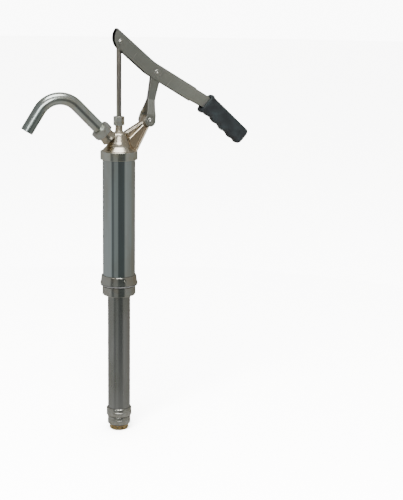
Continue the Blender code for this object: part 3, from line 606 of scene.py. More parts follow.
def arc(centre, radius, start, stop, steps):
    """Points on an arc, both ends included; angles in degrees."""
    turns = [math.radians(start + (stop - start) * i / steps) for i in range(steps + 1)]
    return [(centre[0] + radius * math.cos(t), centre[1] + radius * math.sin(t)) for t in turns]


def rounded(corners, steps=6):
    """An outline whose (x, z, radius) corners are rounded by arcs."""
    points = []
    for i, (x, z, radius) in enumerate(corners):
        here = Vector((x, z))
        if not radius:
            points.append((x, z))
            continue
        before = (Vector(corners[i - 1][:2]) - here).normalized()
        after = (Vector(corners[(i + 1) % len(corners)][:2]) - here).normalized()
        half = before.angle(after) / 2
        centre = here + (before + after).normalized() * (radius / math.sin(half))
        first = here + before * (radius / math.tan(half)) - centre
        last = here + after * (radius / math.tan(half)) - centre
        for step in range(steps + 1):
            points.append(tuple(centre + first.lerp(last, step / steps).normalized() * radius))
    return points


# Settings


def length(name, description, default, **more):
    """A size in millimetres."""
    return bpy.props.FloatProperty(name=name, description=description, default=default, min=0.0, **more)


def shade(name, description, default):
    """A colour."""
    return bpy.props.FloatVectorProperty(
        name=name, description=description, default=default, size=3, min=0.0, max=1.0, subtype="COLOR"
    )


class PumpSizes(bpy.types.PropertyGroup):
    """The pump's driving sizes, in millimetres."""

    tube_radius: length("Cylinder radius", "Radius of the cylinder, mm", highest("cylinder_tube", 0))
    base_radius: length("Base radius", "Radius of the base at the drum, mm", highest("bung_adapter", 0))
    collar_radius: length("Collar radius", "Radius of the head's collar, mm", 32.25)
    spout_radius: length("Spout radius", "Outside radius of the spout, mm", 10.65)
    spout_bend: length("Spout bend", "Radius of the spout's bend at its middle, mm", 42.0)
    rod_radius: length("Rod radius", "Radius of the piston rod, mm", highest("piston_rod", 0))
    lever_width: length("Lever width", "Width of the lever's channel, mm", highest("lever", 1) * 2)
    sheet: length("Sheet thickness", "Thickness of the lever's sheet, mm", 2.5)
    grip_width: length("Grip width", "Width of the hand grip, mm", 25.0)
    finger_depth: length("Finger depth", "Depth of the grip's finger waves, mm", 1.1)


class PumpColours(bpy.types.PropertyGroup):
    """The main colour of each finish."""

    chrome: shade("Chrome", "Cylinder plating", (0.58, 0.65, 0.66))
    spout: shade("Spout", "Spout plating", (0.58, 0.62, 0.58))
    casting: shade("Casting", "Plated casting", (0.60, 0.55, 0.45))
    zinc: shade("Zinc", "Lever and link plating", (0.40, 0.41, 0.36))
    nuts: shade("Nuts", "Gland nut and union nut", (0.6, 0.63, 0.58))
    steel: shade("Steel", "Pins, screws and washers", (0.6, 0.61, 0.57))
    vinyl: shade("Grip", "Dipped grip", (0.0016, 0.0022, 0.0026))
    brass: shade("Brass", "Turned brass", (0.66, 0.50, 0.25))
    floor: shade("Floor", "Studio floor", (0.86, 0.86, 0.85))


FINISHES = {}


def make_finishes(colours):
    """Makes every material and keeps it under the slot that it belongs to."""
    bright = (0.74, 0.74, 0.68)
    shadow = (0.05, 0.05, 0.042)
    FINISHES.update(
        chrome_tube=polished_chrome("polished_chrome", tuple(colours.chrome), (0.5, 0.52, 0.49), 0.05),
        chrome_spout=bent_chrome("bright_spout_plate", tuple(colours.spout), (0.54, 0.54, 0.46)),
        head=plated_casting("plated_casting", tuple(colours.casting), (0.58, 0.5, 0.37), (0.2, 0.16, 0.1)),
        head_collar=turned_plate(
            "turned_collar_plate", (0.67, 0.7, 0.66), (0.62, 0.6, 0.5), (0.14, 0.13, 0.1)
        ),
        adapter=turned_plate(
            "turned_base_plate", (0.52, 0.53, 0.5), (0.5, 0.46, 0.39), (0.14, 0.12, 0.1)
        ),
        nuts=satin_steel("satin_nut_plate", tuple(colours.nuts), (0.51, 0.51, 0.44), bright),
        lever_steel=rolled_zinc("rolled_zinc_plate", tuple(colours.zinc), (0.30, 0.31, 0.28), bright),
        # The channel's inside is painted near black: painted shade.
        channel_inside=rolled_zinc("dull_channel_inside", shadow, (0.03, 0.03, 0.026), (0.1, 0.1, 0.09)),
        rod_steel=polished_chrome("ground_rod_steel", (0.38, 0.37, 0.32), (0.3, 0.28, 0.23), 0.26),
        fixings=satin_steel("pin_steel", tuple(colours.steel), (0.48, 0.47, 0.41), bright, 2.0, 0.14),
        valve_ball=polished_chrome("ball_steel", (0.6, 0.6, 0.6), (0.5, 0.5, 0.5), 0.08),
        suction_steel=polished_chrome("suction_zinc", (0.45, 0.46, 0.45), (0.34, 0.35, 0.31), 0.22),
        brass_parts=machined_brass("machined_brass", tuple(colours.brass), (0.42, 0.28, 0.12)),
        rubber=black_rubber("black_rubber", (0.014, 0.014, 0.014)),
        grip=dipped_vinyl("dipped_vinyl", tuple(colours.vinyl), (0.0026, 0.0042, 0.0048)),
    )


# Pieces


def make_cylinder(sizes):
    """The plain drawn tube."""
    low, high = deepest("cylinder_tube", 2), highest("cylinder_tube", 2)
    outer = sizes.tube_radius
    tube = ring("cylinder", outer, outer - 2.0, low, high, 160)
    eased(tube, 0.4)
    return dressed(tube, "barrel", "chrome_tube", ["cylinder_tube"])


def make_base(sizes):
    """The base with its flared ring, helical thread, grub screw and gasket."""
    outer = sizes.base_radius
    thread_root, thread_start = 28.6, -16.4
    at_root = (thread_root * MM, 0.0, thread_start * MM)
    profile = [
        (29.3, 18.0),
        (30.2, 17.7),
        (30.7, 17.0),
        (30.9, 15.8),
        (31.3, 12.0),
        (32.1, 7.4),
        (outer - 0.2, 4.6),
        (outer, 3.6),
        (outer - 0.1, 2.7),
        (outer - 0.6, 2.3),
        (28.3, 2.3),
        (28.3, -17.2),
        (27.5, -18.0),
        (20.3, -18.0),
        (20.3, -4.0),
        (24.0, -4.0),
        (24.0, 8.0),
        (28.8, 8.0),
        (28.8, 17.6),
    ]
    base = turned("base", profile, closed=True)
    deselect()
    bpy.ops.mesh.primitive_circle_add(vertices=3, radius=1.3 * MM, location=at_root, fill_type="NOTHING")
    thread = begin("thread")
    bpy.ops.transform.rotate(value=math.pi / 2, orient_axis="X", center_override=at_root)
    bpy.ops.transform.rotate(value=-math.pi / 2, orient_axis="Y", center_override=at_root)
    bpy.ops.object.mode_set(mode="OBJECT")
    winding = {"screw_offset": THREAD_PITCH * MM, "iterations": 6, "steps": 72, "render_steps": 72}
    applied(thread, "SCREW", axis="Z", use_merge_vertices=False, **winding)
    bpy.ops.object.mode_set(mode="EDIT")
    bpy.ops.mesh.select_mode(type="EDGE")
    bpy.ops.mesh.select_all(action="DESELECT")
    bpy.ops.mesh.select_non_manifold()
    bpy.ops.mesh.fill_holes(sides=4)
    end(thread)
    carve(base, thread, "UNION")
    low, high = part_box("base_set_screw")
    screw_height = (low.z + high.z) / 2 / MM
    hole = moved(bar("screw_hole", 2.8, 27.0, 40.0), across((0.0, screw_height), way=-1.0))
    carve(base, hole)
    dressed(base, "barrel", "adapter", ["bung_adapter"])
    screw = eased(bar("set_screw", 2.5, 28.9, 33.4), 0.4)
    screw = carve(screw, hex_nut("key_hole", 2.5, 31.6, 36.0))
    moved(screw, across((0.0, screw_height), way=-1.0))
    dressed(screw, "barrel", "fixings", ["base_set_screw"])
    gasket = eased(ring("seat_gasket", 32.6, 30.2, 0.0, 2.0), 0.5, 3)
    return dressed(gasket, "barrel", "rubber", ["bung_gasket"])


def rib(start, stop, half, width, name):
    """A straight rib, 2 x half thick and 2 x width wide, whose upper side is drawn in."""
    run = (Vector(stop) - Vector(start)).normalized()
    side = Vector((-run.y, run.x)) * half
    first, last = Vector(start), Vector(stop)
    outline = [tuple(first + side), tuple(last + side), tuple(last - side), tuple(first - side)]
    piece = traced(name, outline, -width, width)
    only(piece)
    bpy.ops.object.mode_set(mode="EDIT")
    up = Vector((side.x, 0.0, side.y))
    middle = Vector((start[0], 0.0, start[1])) * MM
    pick(piece, "verts", lambda vert: (vert.co - middle).dot(up) > 0.0)
    bpy.ops.transform.resize(value=(1.0, 1.0 - 0.85 * half / width, 1.0), center_override=(0.0, 0.0, 0.0))
    return end(piece)


def make_head(sizes):
    """Dome, spout boss and ribbed arm, fused and softened like a casting."""
    outside = [
        (6.0, 288.0),
        (6.3, 287.4),
        (6.5, 273.0),
        (7.0, 269.6),
        (8.6, 268.4),
        (11.6, 267.6),
        (13.4, 265.9),
        (14.9, 263.6),
        (16.9, 258.0),
        (18.8, 252.6),
        (19.7, 249.4),
        (22.2, 244.4),
        (29.4, 237.3),
        (29.4, 234.0),
    ]
    inside = [(20.5, 234.0), (20.5, 238.0), (16.0, 244.0), (11.5, 254.5), (8.0, 262.0)]
    inside += [(4.85, 266.0), (4.85, 288.0)]
    dome = turned("head", outside + inside, closed=True)
    boss = turned("boss", [(12.2, 45.2), (12.9, 44.6), (13.0, 43.0), (13.0, 30.0), (14.5, 24.0)], 64)
    moved(boss, on_spout())
    web = [(13.0, 258.0), (13.0, 268.0), (47.0, 288.5), (55.0, 281.0), (31.0, 235.0), (24.0, 235.0)]
    parts = [
        dome,
        boss,
        traced("web", web, -2.4, 2.4),
        rib((9.0, 266.4), (47.5, 287.9), 1.6, 7.8, "top_rib"),
        rib((15.0, 255.2), (45.0, 282.2), 1.5, 6.6, "middle_rib"),
        rib(*ARM_BACK, 1.7, 7.2, "back_rib"),
    ]
    eye = [(8.7, 13.0), (9.5, 12.2), (9.5, -12.2), (8.7, -13.0)]
    parts.append(moved(turned("eye", eye, 64), across(LUG_PIVOT)))
    only(parts[0])
    for part in parts[1:]:
        part.select_set(True)
    bpy.ops.object.join()
    head = bpy.context.active_object
    head.data.remesh_voxel_size = 0.65 * MM
    bpy.ops.object.voxel_remesh()
    applied(head, "SMOOTH", factor=0.5, iterations=14)
    dressed(head, "barrel", "head", ["head_casting"], 180.0, flat_faces=False)
    collar = [
        (sizes.collar_radius - 4.2, 236.9),
        (sizes.collar_radius - 1.6, 236.6),
        (sizes.collar_radius - 0.4, 236.3),
        (sizes.collar_radius, 235.6),
        (sizes.collar_radius, 222.4),
        (sizes.collar_radius - 0.5, 221.8),
        (28.8, 221.8),
        (28.8, 232.5),
        (26.0, 232.5),
        (26.0, 236.9),
    ]
    band = eased(turned("head_collar", collar, 128, closed=True), 0.35)
    return dressed(band, "barrel", "head", (), 35.0, ("head_collar",))


def make_nuts(sizes):
    """The gland nut and the spout's union nut."""
    low, high = deepest("gland_nut", 2), highest("gland_nut", 2)
    nut = hex_nut("gland", 17.0, low, high, math.radians(10.0))
    rod_hole, room = sizes.rod_radius + 0.3, 7.9
    bore = [(rod_hole + 0.8, high + 0.5), (rod_hole, high - 0.6), (rod_hole, high - 3.0)]
    carve(nut, turned("gland_bore", bore + [(room, high - 3.0), (room, low - 1.0)], 64))
    dressed(eased(nut, 0.25, 2, 30.0), "barrel", "nuts", ["gland_nut"])
    low, high = 37.3, 50.6
    nut = hex_nut("union_nut", 32.0, low, high)
    groove = ring("nut_groove", 30.0, 16.6, low + 2.4, low + 3.0)
    carve(nut, groove)
    outer, room, shelf = sizes.spout_radius + 0.3, 13.5, 48.6
    bore = [(outer + 1.0, high + 0.6), (outer, high - 0.6), (outer, shelf)]
    carve(nut, turned("union_bore", bore + [(room, shelf), (room, low - 1.0)], 64))
    eased(nut, 0.3, 2, 30.0)
    return dressed(moved(nut, on_spout()), "barrel", "nuts", ["spout_nut"])


def make_spout(sizes):
    """The gooseneck, drawn on from the nut, spun round its bend and out to the mouth."""
    inner_end, bend_at, tail = 46.9, 107.2, 41.0
    reach = Vector((-math.cos(SPOUT_LEAN), 0.0, math.sin(SPOUT_LEAN)))
    start = Vector((0.0, 0.0, HEAD_CENTRE)) + reach * inner_end
    bend_start = Vector((0.0, 0.0, HEAD_CENTRE)) + reach * bend_at
    centre = bend_start - Vector((math.sin(SPOUT_LEAN), 0.0, math.cos(SPOUT_LEAN))) * sizes.spout_bend
    sweep = math.radians(102.0)
    deselect()
    bpy.ops.mesh.primitive_circle_add(
        vertices=64,
        radius=sizes.spout_radius * MM,
        location=start * MM,
        rotation=(0.0, -SPOUT_LEAN, 0.0),
        fill_type="NOTHING",
    )
    pipe = begin("spout")
    straight = bpy.ops.mesh.extrude_edges_move
    for _ in range(6):
        straight(TRANSFORM_OT_translate={"value": (bend_start - start) * (MM / 6)})
    bpy.ops.mesh.spin(steps=64, angle=sweep, center=centre * MM, axis=(0.0, 1.0, 0.0))
    leave = SPOUT_LEAN - sweep
    out = Vector((-math.cos(leave), 0.0, math.sin(leave)))
    for _ in range(4):
        straight(TRANSFORM_OT_translate={"value": out * (tail * MM / 4)})
    bpy.ops.mesh.select_all(action="SELECT")
    bpy.ops.mesh.remove_doubles(threshold=MM / 100)
    end(pipe)
    applied(pipe, "SOLIDIFY", thickness=2.0 * MM, offset=-1.0)
    eased(pipe, 0.35, 3)
    return dressed(pipe, "spout", "chrome_spout", ["spout_tube"])


def make_rod(sizes):
    """The ground rod with its chamfered top, eye and threaded foot."""
    low, high = deepest("piston_rod", 2), highest("piston_rod", 2)
    radius = sizes.rod_radius
    shoulder = highest("piston_valve_stop", 2) + 0.3
    profile = [
        (radius - 1.6, high),
        (radius - 0.5, high - 0.5),
        (radius, high - 1.6),
        (radius, shoulder),
        (3.8, shoulder),
        (3.8, low + 0.5),
        (3.3, low),
    ]
    rod = turned("rod", profile, 64)
    carve(rod, moved(bar("rod_eye", 3.3, -10.0, 10.0), across(ROD_PIVOT)))
    return dressed(rod, "rod", "rod_steel", ["piston_rod"])


def channel_outline():
    """The channel's side view: square tip with a round nose below, and a shallow bend."""
    (bend, above), depth, tip = LEVER_BEND, CHANNEL_DEPTH, -17.5
    half_bend = (LEVER_FRONT_LEAN - LEVER_REAR_LEAN) / 2
    nose = arc((tip + depth, above), depth, 270.0, 184.0, 24)
    corners = [
        (*LEVER_FRONT.at(tip, above), 0.0),
        (*LEVER_FRONT.at(bend, above), 80.0),
        (*LEVER_REAR.at(90.5, 0.0), 0.0),
        (*LEVER_REAR.at(95.5, -depth), 0.0),
        (*LEVER_FRONT.at(bend + depth * math.tan(half_bend), above - depth), 60.0),
        *((*LEVER_FRONT.at(u, v), 0.0) for u, v in nose),
    ]
    return rounded(corners)


def tang_outline():
    """The narrower rear of the lever, pressed in a little and run into the grip."""
    top, low, half = -0.9, 1.3 - CHANNEL_DEPTH, 8.5
    corners = [
        (*LEVER_REAR.at(82.0, top), 0.0),
        (*LEVER_REAR.at(121.0, top), 12.0),
        (*GRIP_LINE.at(4.0, half), 0.0),
        (*GRIP_LINE.at(14.0, half), 0.0),
        (*GRIP_LINE.at(14.0, -half), 0.0),
        (*GRIP_LINE.at(4.5, -half), 0.0),
        (*LEVER_REAR.at(96.4, low), 0.0),
        (*LEVER_REAR.at(82.0, low), 0.0),
    ]
    return rounded(corners)


def channel(name, outline, half, sheet, nodes=()):
    """A pressed channel: its side given width, opened below, bent over and thickened."""
    piece = traced(name, outline, -half, half)
    only(piece)
    bpy.ops.object.mode_set(mode="EDIT")
    lean = (LEVER_FRONT_LEAN + LEVER_REAR_LEAN) / 2
    up = Vector((math.sin(lean), 0.0, math.cos(lean)))
    pick(piece, "faces", lambda face: abs(face.normal.y) < 0.5 and face.normal.dot(up) < 0.8)
    bpy.ops.mesh.delete(type="FACE")

    def is_fold(edge):
        """True where the web meets a side."""
        if len(edge.link_faces) != 2:
            return False
        sides = [abs(face.normal.y) > 0.5 for face in edge.link_faces]
        return sides[0] != sides[1]

    pick(piece, "edges", is_fold)
    bpy.ops.mesh.bevel(offset=3.2 * MM, segments=6)
    end(piece)
    piece.data.materials.append(None)
    piece.data.materials.append(None)
    applied(piece, "SOLIDIFY", thickness=sheet * MM, offset=-1.0, use_even_offset=True, material_offset=1)
    eased(piece, 0.35, 2, 50.0)
    # The inner faces take the second finish, which is painted shade.
    pair = ("lever_steel", "channel_inside")
    return dressed(piece, "lever", "lever_steel", nodes, 30.0, pair)


def make_lever(sizes):
    """The lever's channel and the pressed-in rear that carries the grip."""
    half = sizes.lever_width / 2
    channel("lever_channel", channel_outline(), half, sizes.sheet, ["lever"])
    return channel("lever_tang", tang_outline(), half - 0.8, sizes.sheet)


def grip_stations(sizes):
    """(distance, top, bottom, half width) from the guard to the rounded end."""
    half = sizes.grip_width / 2
    stations = [
        (-3.6, 16.4, 17.4, half - 0.3),
        (-3.2, 17.3, 18.4, half + 0.3),
        (-2.0, 18.1, 19.2, half + 0.7),
        (0.0, 18.5, 19.5, half + 0.8),
        (1.6, 18.1, 19.4, half + 0.7),
        (2.9, 17.2, 19.0, half + 0.4),
        (3.8, 16.8, 18.6, half + 0.1),
        (5.5, 16.7, 17.6, half),
        (7.5, 16.7, 16.4, half),
    ]
    start, stop, steps = 9.0, 88.0, 64
    first_crest, finger_pitch = 11.5, 20.3
    for i in range(steps + 1):
        u = start + (stop - start) * i / steps
        wave = sizes.finger_depth * math.cos(2.0 * math.pi * (u - first_crest) / finger_pitch)
        stations.append((u, 16.7, 15.2 + wave, half))
    end_steps = 8
    for i in range(1, end_steps + 1):
        turn = math.pi / 2 * i / end_steps
        shrink = 6.5 * (1.0 - math.cos(turn))
        stations.append((stop + 7.0 * math.sin(turn), 16.7 - shrink, 15.3 - shrink, half - shrink))
    return stations


def make_grip(sizes):
    """A dipped grip: a soft rectangle drawn out along the tang, waved under the fingers."""
    stations = grip_stations(sizes)
    u, top, bottom, half = stations[0]
    deselect()
    bpy.ops.mesh.primitive_plane_add(size=2.0 * MM, location=(0.0, (top - bottom) / 2 * MM, u * MM))
    bpy.context.active_object.scale = (half, (top + bottom) / 2, 1.0)
    grip = begin("hand_grip")
    bpy.ops.mesh.bevel(affect="VERTICES", offset=8.6 * MM, segments=8)
    bpy.ops.mesh.select_all(action="SELECT")
    for before, after in zip(stations, stations[1:]):
        u0, top0, bottom0, half0 = before
        u1, top1, bottom1, half1 = after
        tall0, tall1 = (top0 + bottom0) / 2, (top1 + bottom1) / 2
        middle0, middle1 = (top0 - bottom0) / 2, (top1 - bottom1) / 2
        step = (0.0, (middle1 - middle0) * MM, (u1 - u0) * MM)
        bpy.ops.mesh.extrude_region_move(TRANSFORM_OT_translate={"value": step})
        centre = (0.0, middle1 * MM, u1 * MM)
        bpy.ops.transform.resize(value=(half1 / half0, tall1 / tall0, 1.0), center_override=centre)
    mouth = stations[0][0] * MM
    pick(grip, "faces", lambda face: all(abs(v.co.z - mouth) < MM / 100 for v in face.verts))
    bpy.ops.mesh.inset(thickness=3.9 * MM, depth=0.0)
    bpy.ops.mesh.extrude_region_move(TRANSFORM_OT_translate={"value": (0.0, 0.0, 5.0 * MM)})
    end(grip)
    eased(grip, 0.7, 3, 50.0)
    moved(grip, GRIP_LINE.matrix())
    return dressed(grip, "lever", "grip", ["lever_grip"], 60.0)


def link_pattern(reach):
    """The flat pattern of a link plate: two round eyes and a waist."""
    top = arc((0.0, 0.0), 9.2, 180.0, 0.0, 20)
    foot = arc((0.0, -reach), 9.2, 0.0, -180.0, 20)
    right = [(9.0, -6.0), (8.2, -16.0), (7.5, -28.0), (6.9, -40.0)]
    right += [(6.6, -52.0), (6.9, -64.0), (8.1, -73.0)]
    left = [(-x, z) for x, z in reversed(right)]
    return [*top, *right, *foot, *left]


def link_bend(reach, side):
    """A link plate seen from the front: straight in the channel, spread to the lug."""
    inner, outer, thick = 1.5, 15.5, 3.0
    knee, heel = -47.0, -72.0
    slope = math.atan2(outer - inner, knee - heel)
    shift = thick * math.tan(slope / 2)
    corners = [
        (inner, 15.0, 0.0),
        (inner, knee, 6.0),
        (outer, heel, 3.0),
        (outer, -reach - 15.0, 0.0),
        (outer + thick, -reach - 15.0, 0.0),
        (outer + thick, heel + shift, 6.0),
        (inner + thick, knee + shift, 3.0),
        (inner + thick, 15.0, 0.0),
    ]
    return [(side * y, z) for y, z in rounded(corners, 8)]


def make_links():
    """The two joggled plates and the sleeve that keeps them apart."""
    run = Vector((FULCRUM[0] - LUG_PIVOT[0], 0.0, FULCRUM[1] - LUG_PIVOT[1]))
    reach = run.length
    lean = Matrix.Rotation(math.atan2(run.x, run.z), 4, "Y")
    place = Matrix.Translation(Vector((FULCRUM[0], 0.0, FULCRUM[1])) * MM) @ lean
    for name, side in (("near", -1.0), ("far", 1.0)):
        link = traced(f"link_{name}", link_bend(reach, side), -14.0, 14.0)
        moved(link, Matrix.Rotation(math.pi / 2, 4, "Z"))
        carve(link, traced("pattern", link_pattern(reach), -30.0, 30.0), "INTERSECT")
        carve(link, laid("top_hole", 6.3, (0.0, 0.0)))
        carve(link, laid("foot_hole", 4.3, (0.0, -reach)))
        eased(link, 0.35, 2, 50.0)
        moved(link, place)
        dressed(link, "link", "lever_steel", [f"link_plate_{name}"], 30.0)
    bush = eased(ring("fulcrum_sleeve", 6.0, 4.3, -4.9, 4.9, 48), 0.3)
    return dressed(moved(bush, across(FULCRUM)), "link", "brass_parts", ["fulcrum_bush"])


def laid(name, radius, pivot):
    """A long round cutter along Y."""
    return moved(bar(name, radius, -30.0, 30.0), across(pivot))


def headed(name, radius, flange, crown, face, thick, shank_end):
    """A pin on Z: a chamfered shank, a thin flange below the face and a small domed crown."""
    dome = [(1.0, 0.0), (0.97, 0.3), (0.85, 0.6), (0.63, 0.86), (0.36, 0.97), (0.1, 1.0)]
    lip = 0.55
    profile = [
        (radius - 0.7, shank_end),
        (radius, shank_end - 0.7),
        (radius, face),
        (flange - 0.2, face),
        (flange, face - 0.2),
        (flange - 0.35, face - lip),
        *((crown * r, face - lip - (thick - lip) * h) for r, h in dome),
    ]
    return turned(name, profile, PIN_SIDES)


def make_pins(sizes):
    """Pins, rivets, washers, clip and split pin of the three lever pivots."""
    side = sizes.lever_width / 2 + 0.3
    pin = headed("rod_pivot_pin", 3.0, 4.6, 3.3, -side, 2.2, side + 4.6)
    carve(pin, ring("clip_groove", 6.0, 2.4, side + 1.0, side + 2.2, 48))
    dressed(moved(pin, across(ROD_PIVOT)), "lever", "fixings", ["rod_pin"])
    clip = ring("rod_pin_ring", 5.2, 2.6, side + 1.2, side + 2.0, 48)
    slot = traced("clip_gap", [(-1.4, -8.0), (1.4, -8.0), (1.4, 0.0), (-1.4, 0.0)], -20.0, 20.0)
    moved(clip, Matrix.Rotation(-math.pi / 2, 4, "X"))
    eased(carve(clip, slot), 0.15)
    place = Matrix.Translation(Vector((ROD_PIVOT[0], 0.0, ROD_PIVOT[1])) * MM)
    dressed(moved(clip, place), "lever", "fixings", ["rod_pin_clip"])
    for name, way in (("near", 1.0), ("far", -1.0)):
        rivet = headed(f"fulcrum_pin_{name}", 4.0, 6.0, 3.0, -side, 2.2, -5.4)
        moved(rivet, across(FULCRUM, way=way))
        dressed(rivet, "lever", "fixings", [f"fulcrum_rivet_{name}"])
    lug_side = 18.8
    pin = headed("lug_bolt", 4.0, 6.2, 3.7, -lug_side, 2.6, lug_side + 5.4)
    moved(pin, across(LUG_PIVOT))
    hole_y = lug_side + 2.6
    upright = Matrix.Translation(Vector((LUG_PIVOT[0], hole_y, LUG_PIVOT[1])) * MM)
    carve(pin, moved(bar("cotter_hole", 1.2, -12.0, 12.0), upright))
    dressed(pin, "barrel", "fixings", ["lug_pin"])
    for name, sign in (("near", -1.0), ("far", 1.0)):
        washer = eased(ring(f"lug_spacer_{name}", 8.0, 4.3, -0.95, 0.95, 64), 0.25)
        moved(washer, across(LUG_PIVOT, sign * 14.25))
        dressed(washer, "barrel", "fixings", [f"lug_washer_{name}"])
    deselect()
    bpy.ops.mesh.primitive_torus_add(
        major_radius=1.9 * MM,
        minor_radius=0.75 * MM,
        major_segments=32,
        minor_segments=12,
        location=(0.0, 0.0, 6.6 * MM),
        rotation=(0.0, math.pi / 2, 0.0),
    )
    eye = begin("cotter_pin")
    end(eye)
    stem = bar("cotter_stem", 1.05, -7.4, 5.2, 16)
    eased(stem, 0.3)
    carve(eye, stem, "UNION")
    return dressed(moved(eye, upright), "barrel", "fixings", ["lug_split_pin"])


def make_suction():
    """The telescopic tube: smooth tubes, rolled collars and the slotted strainer."""
    tubes = {
        "outer": ("barrel", 20.0, 18.6, 0.0),
        "middle": ("middle_tube", 18.0, 16.6, 0.4),
        "inner": ("inner_tube", 16.0, 14.5, 0.4),
    }
    for name, (body, outer, inner, bead) in tubes.items():
        node = f"suction_{name}_tube"
        low, high = deepest(node, 2), highest(node, 2)
        profile = [(outer + bead, high), (outer + bead, high - 3.0), (outer, high - 4.0)]
        profile += [(outer, low), (inner, low), (inner, high)]
        tube = eased(turned(f"pickup_{name}", profile, 128, closed=True), 0.25)
        dressed(tube, body, "suction_steel", [node])
    for name in ("outer", "middle"):
        body, outer, _, _ = tubes[name]
        through = outer - 1.8
        end_z = deepest(f"suction_{name}_tube", 2)
        wide = outer + 2.4
        profile = [
            (outer + 0.9, end_z + 10.0),
            (outer + 1.6, end_z + 9.6),
            (wide, end_z + 8.4),
            (wide, end_z + 5.6),
            (wide - 0.8, end_z + 5.0),
            (wide - 0.8, end_z + 3.6),
            (wide, end_z + 3.0),
            (wide, end_z - 3.6),
            (wide - 0.6, end_z - 4.7),
            (wide - 1.4, end_z - 5.0),
            (through, end_z - 5.0),
            (through, end_z - 3.6),
            (outer + 0.3, end_z - 3.6),
            (outer + 0.3, end_z + 10.0),
        ]
        collar = eased(turned(f"pickup_{name}_collar", profile, 128, closed=True), 0.2)
        dressed(collar, body, "fixings", [f"suction_{name}_collar"])
    low, high = deepest("suction_strainer", 2), highest("suction_strainer", 2)
    rim, bore = 16.8, 14.2
    shoulder = deepest("suction_inner_tube", 2) - 0.3
    profile = [(rim, shoulder), (rim, low + 1.2), (rim - 0.4, low + 0.3), (rim - 1.2, low), (10.5, low)]
    profile += [(10.5, low + 2.0), (12.7, low + 2.0), (12.7, high), (bore, high), (bore, shoulder)]
    strainer = turned("inlet_strainer", profile, closed=True)
    slots = 12
    for i in range(slots // 2):
        slot = [(-25.0, low + 2.6), (25.0, low + 2.6), (25.0, low + 5.8), (-25.0, low + 5.8)]
        cutter = traced("slot", slot, -1.1, 1.1)
        carve(strainer, moved(cutter, Matrix.Rotation(2.0 * math.pi * i / slots, 4, "Z")))
    eased(strainer, 0.2, 2, 50.0)
    return dressed(strainer, "inner_tube", "brass_parts", ["suction_strainer"])


def finish_inner_nodes():
    """Gives every CAD node that still shows the finish of its slot."""
    slots = {entry["node"]: entry["material_slot"] for entry in frame["record"]["subparts"]}
    for name, node in frame["nodes"].items():
        if node.hide_render:
            continue
        node.data.materials.clear()
        node.data.materials.append(FINISHES[slots[name]])


# Studio


CAMERA_PLACE = (-0.7309, -2.0078, 0.5362)
CAMERA_RIGHT = (0.91556, -0.40194, 0.01391)
CAMERA_UP = (0.0746, 0.20373, 0.97618)
CAMERA_BACK = (-0.3952, -0.89272, 0.21651)
CAMERA_LENS = 89.84

# Round the pump from -X: share of a turn, then how bright the studio is there
STUDIO_BANDS = [
    (0.0, (0.4, 0.4, 0.39)),
    (0.04, (0.4, 0.41, 0.4)),
    (0.055, (0.13, 0.14, 0.14)),
    (0.09, (0.12, 0.13, 0.13)),
    (0.105, (0.26, 0.27, 0.26)),
    (0.17, (0.25, 0.26, 0.25)),
    (0.187, (0.075, 0.085, 0.082)),
    (0.292, (0.08, 0.09, 0.088)),
    (0.32, (0.34, 0.34, 0.32)),
    (0.44, (0.28, 0.28, 0.26)),
    (0.48, (0.27, 0.255, 0.22)),
    (0.69, (0.2, 0.18, 0.15)),
    (0.72, (0.3, 0.29, 0.27)),
    (0.84, (0.36, 0.36, 0.35)),
    (0.86, (0.4, 0.4, 0.39)),
]


def card(name, place, size, strength):
    """A bright board that faces the pump and shows only in reflections."""
    deselect()
    spot = Vector(place)
    turn = (Vector((0.0, 0.0, 0.25)) - spot).to_track_quat("Z", "Y")
    bpy.ops.mesh.primitive_plane_add(size=1.0, location=spot, rotation=turn.to_euler())
    board = bpy.context.active_object
    board.name = name
    board.scale = (size[0], size[1], 1.0)
    material = glowing(name, strength)
    material.cycles.emission_sampling = "FRONT"
    return reflected_only(board, material)


def glowing(name, strength):
    """A material that only shines."""
    finish = Finish(name, 0.0)
    finish.shader.inputs["Base Color"].default_value = (0.0, 0.0, 0.0, 1.0)
    finish.shader.inputs["Emission Color"].default_value = (1.0, 1.0, 1.0, 1.0)
    finish.shader.inputs["Emission Strength"].default_value = strength
    return finish.material


def reflected_only(obj, material):
    """Gives a studio object its material and hides it from all but reflections."""
    obj.data.materials.clear()
    obj.data.materials.append(material)
    obj.visible_camera = False
    obj.visible_diffuse = False
    obj.visible_shadow = False
    obj.visible_transmission = False
    return obj


def make_surround():
    """A round studio wall and ceiling of soft light and dark bands, seen only in the metal."""
    deselect()
    bpy.ops.mesh.primitive_uv_sphere_add(segments=64, ring_count=32, radius=1.3)
    wall = bpy.context.active_object
    wall.name = "studio_wall"
    finish = Finish("studio_wall", 0.0)
    finish.shader.inputs["Base Color"].default_value = (0.0, 0.0, 0.0, 1.0)
    settings = {"gradient_type": "RADIAL"}
    around = finish.node("ShaderNodeTexGradient", settings, {"Vector": finish.place}).outputs["Fac"]
    bands = finish.node("ShaderNodeValToRGB", {"stops": STUDIO_BANDS}, {"Fac": around}).outputs["Color"]
    height = finish.along("Z")
    above = finish.spread(height, 0.15, 0.75)
    below = finish.spread(height, -0.75, -0.45, 1.0, 0.0)
    colour = finish.blend(above, bands, (0.34, 0.34, 0.33))
    colour = finish.blend(below, colour, (0.42, 0.41, 0.39))
    finish.tree.links.new(colour, finish.shader.inputs["Emission Color"])
    finish.shader.inputs["Emission Strength"].default_value = 1.0
    finish.material.cycles.emission_sampling = "NONE"
    return reflected_only(wall, finish.material)


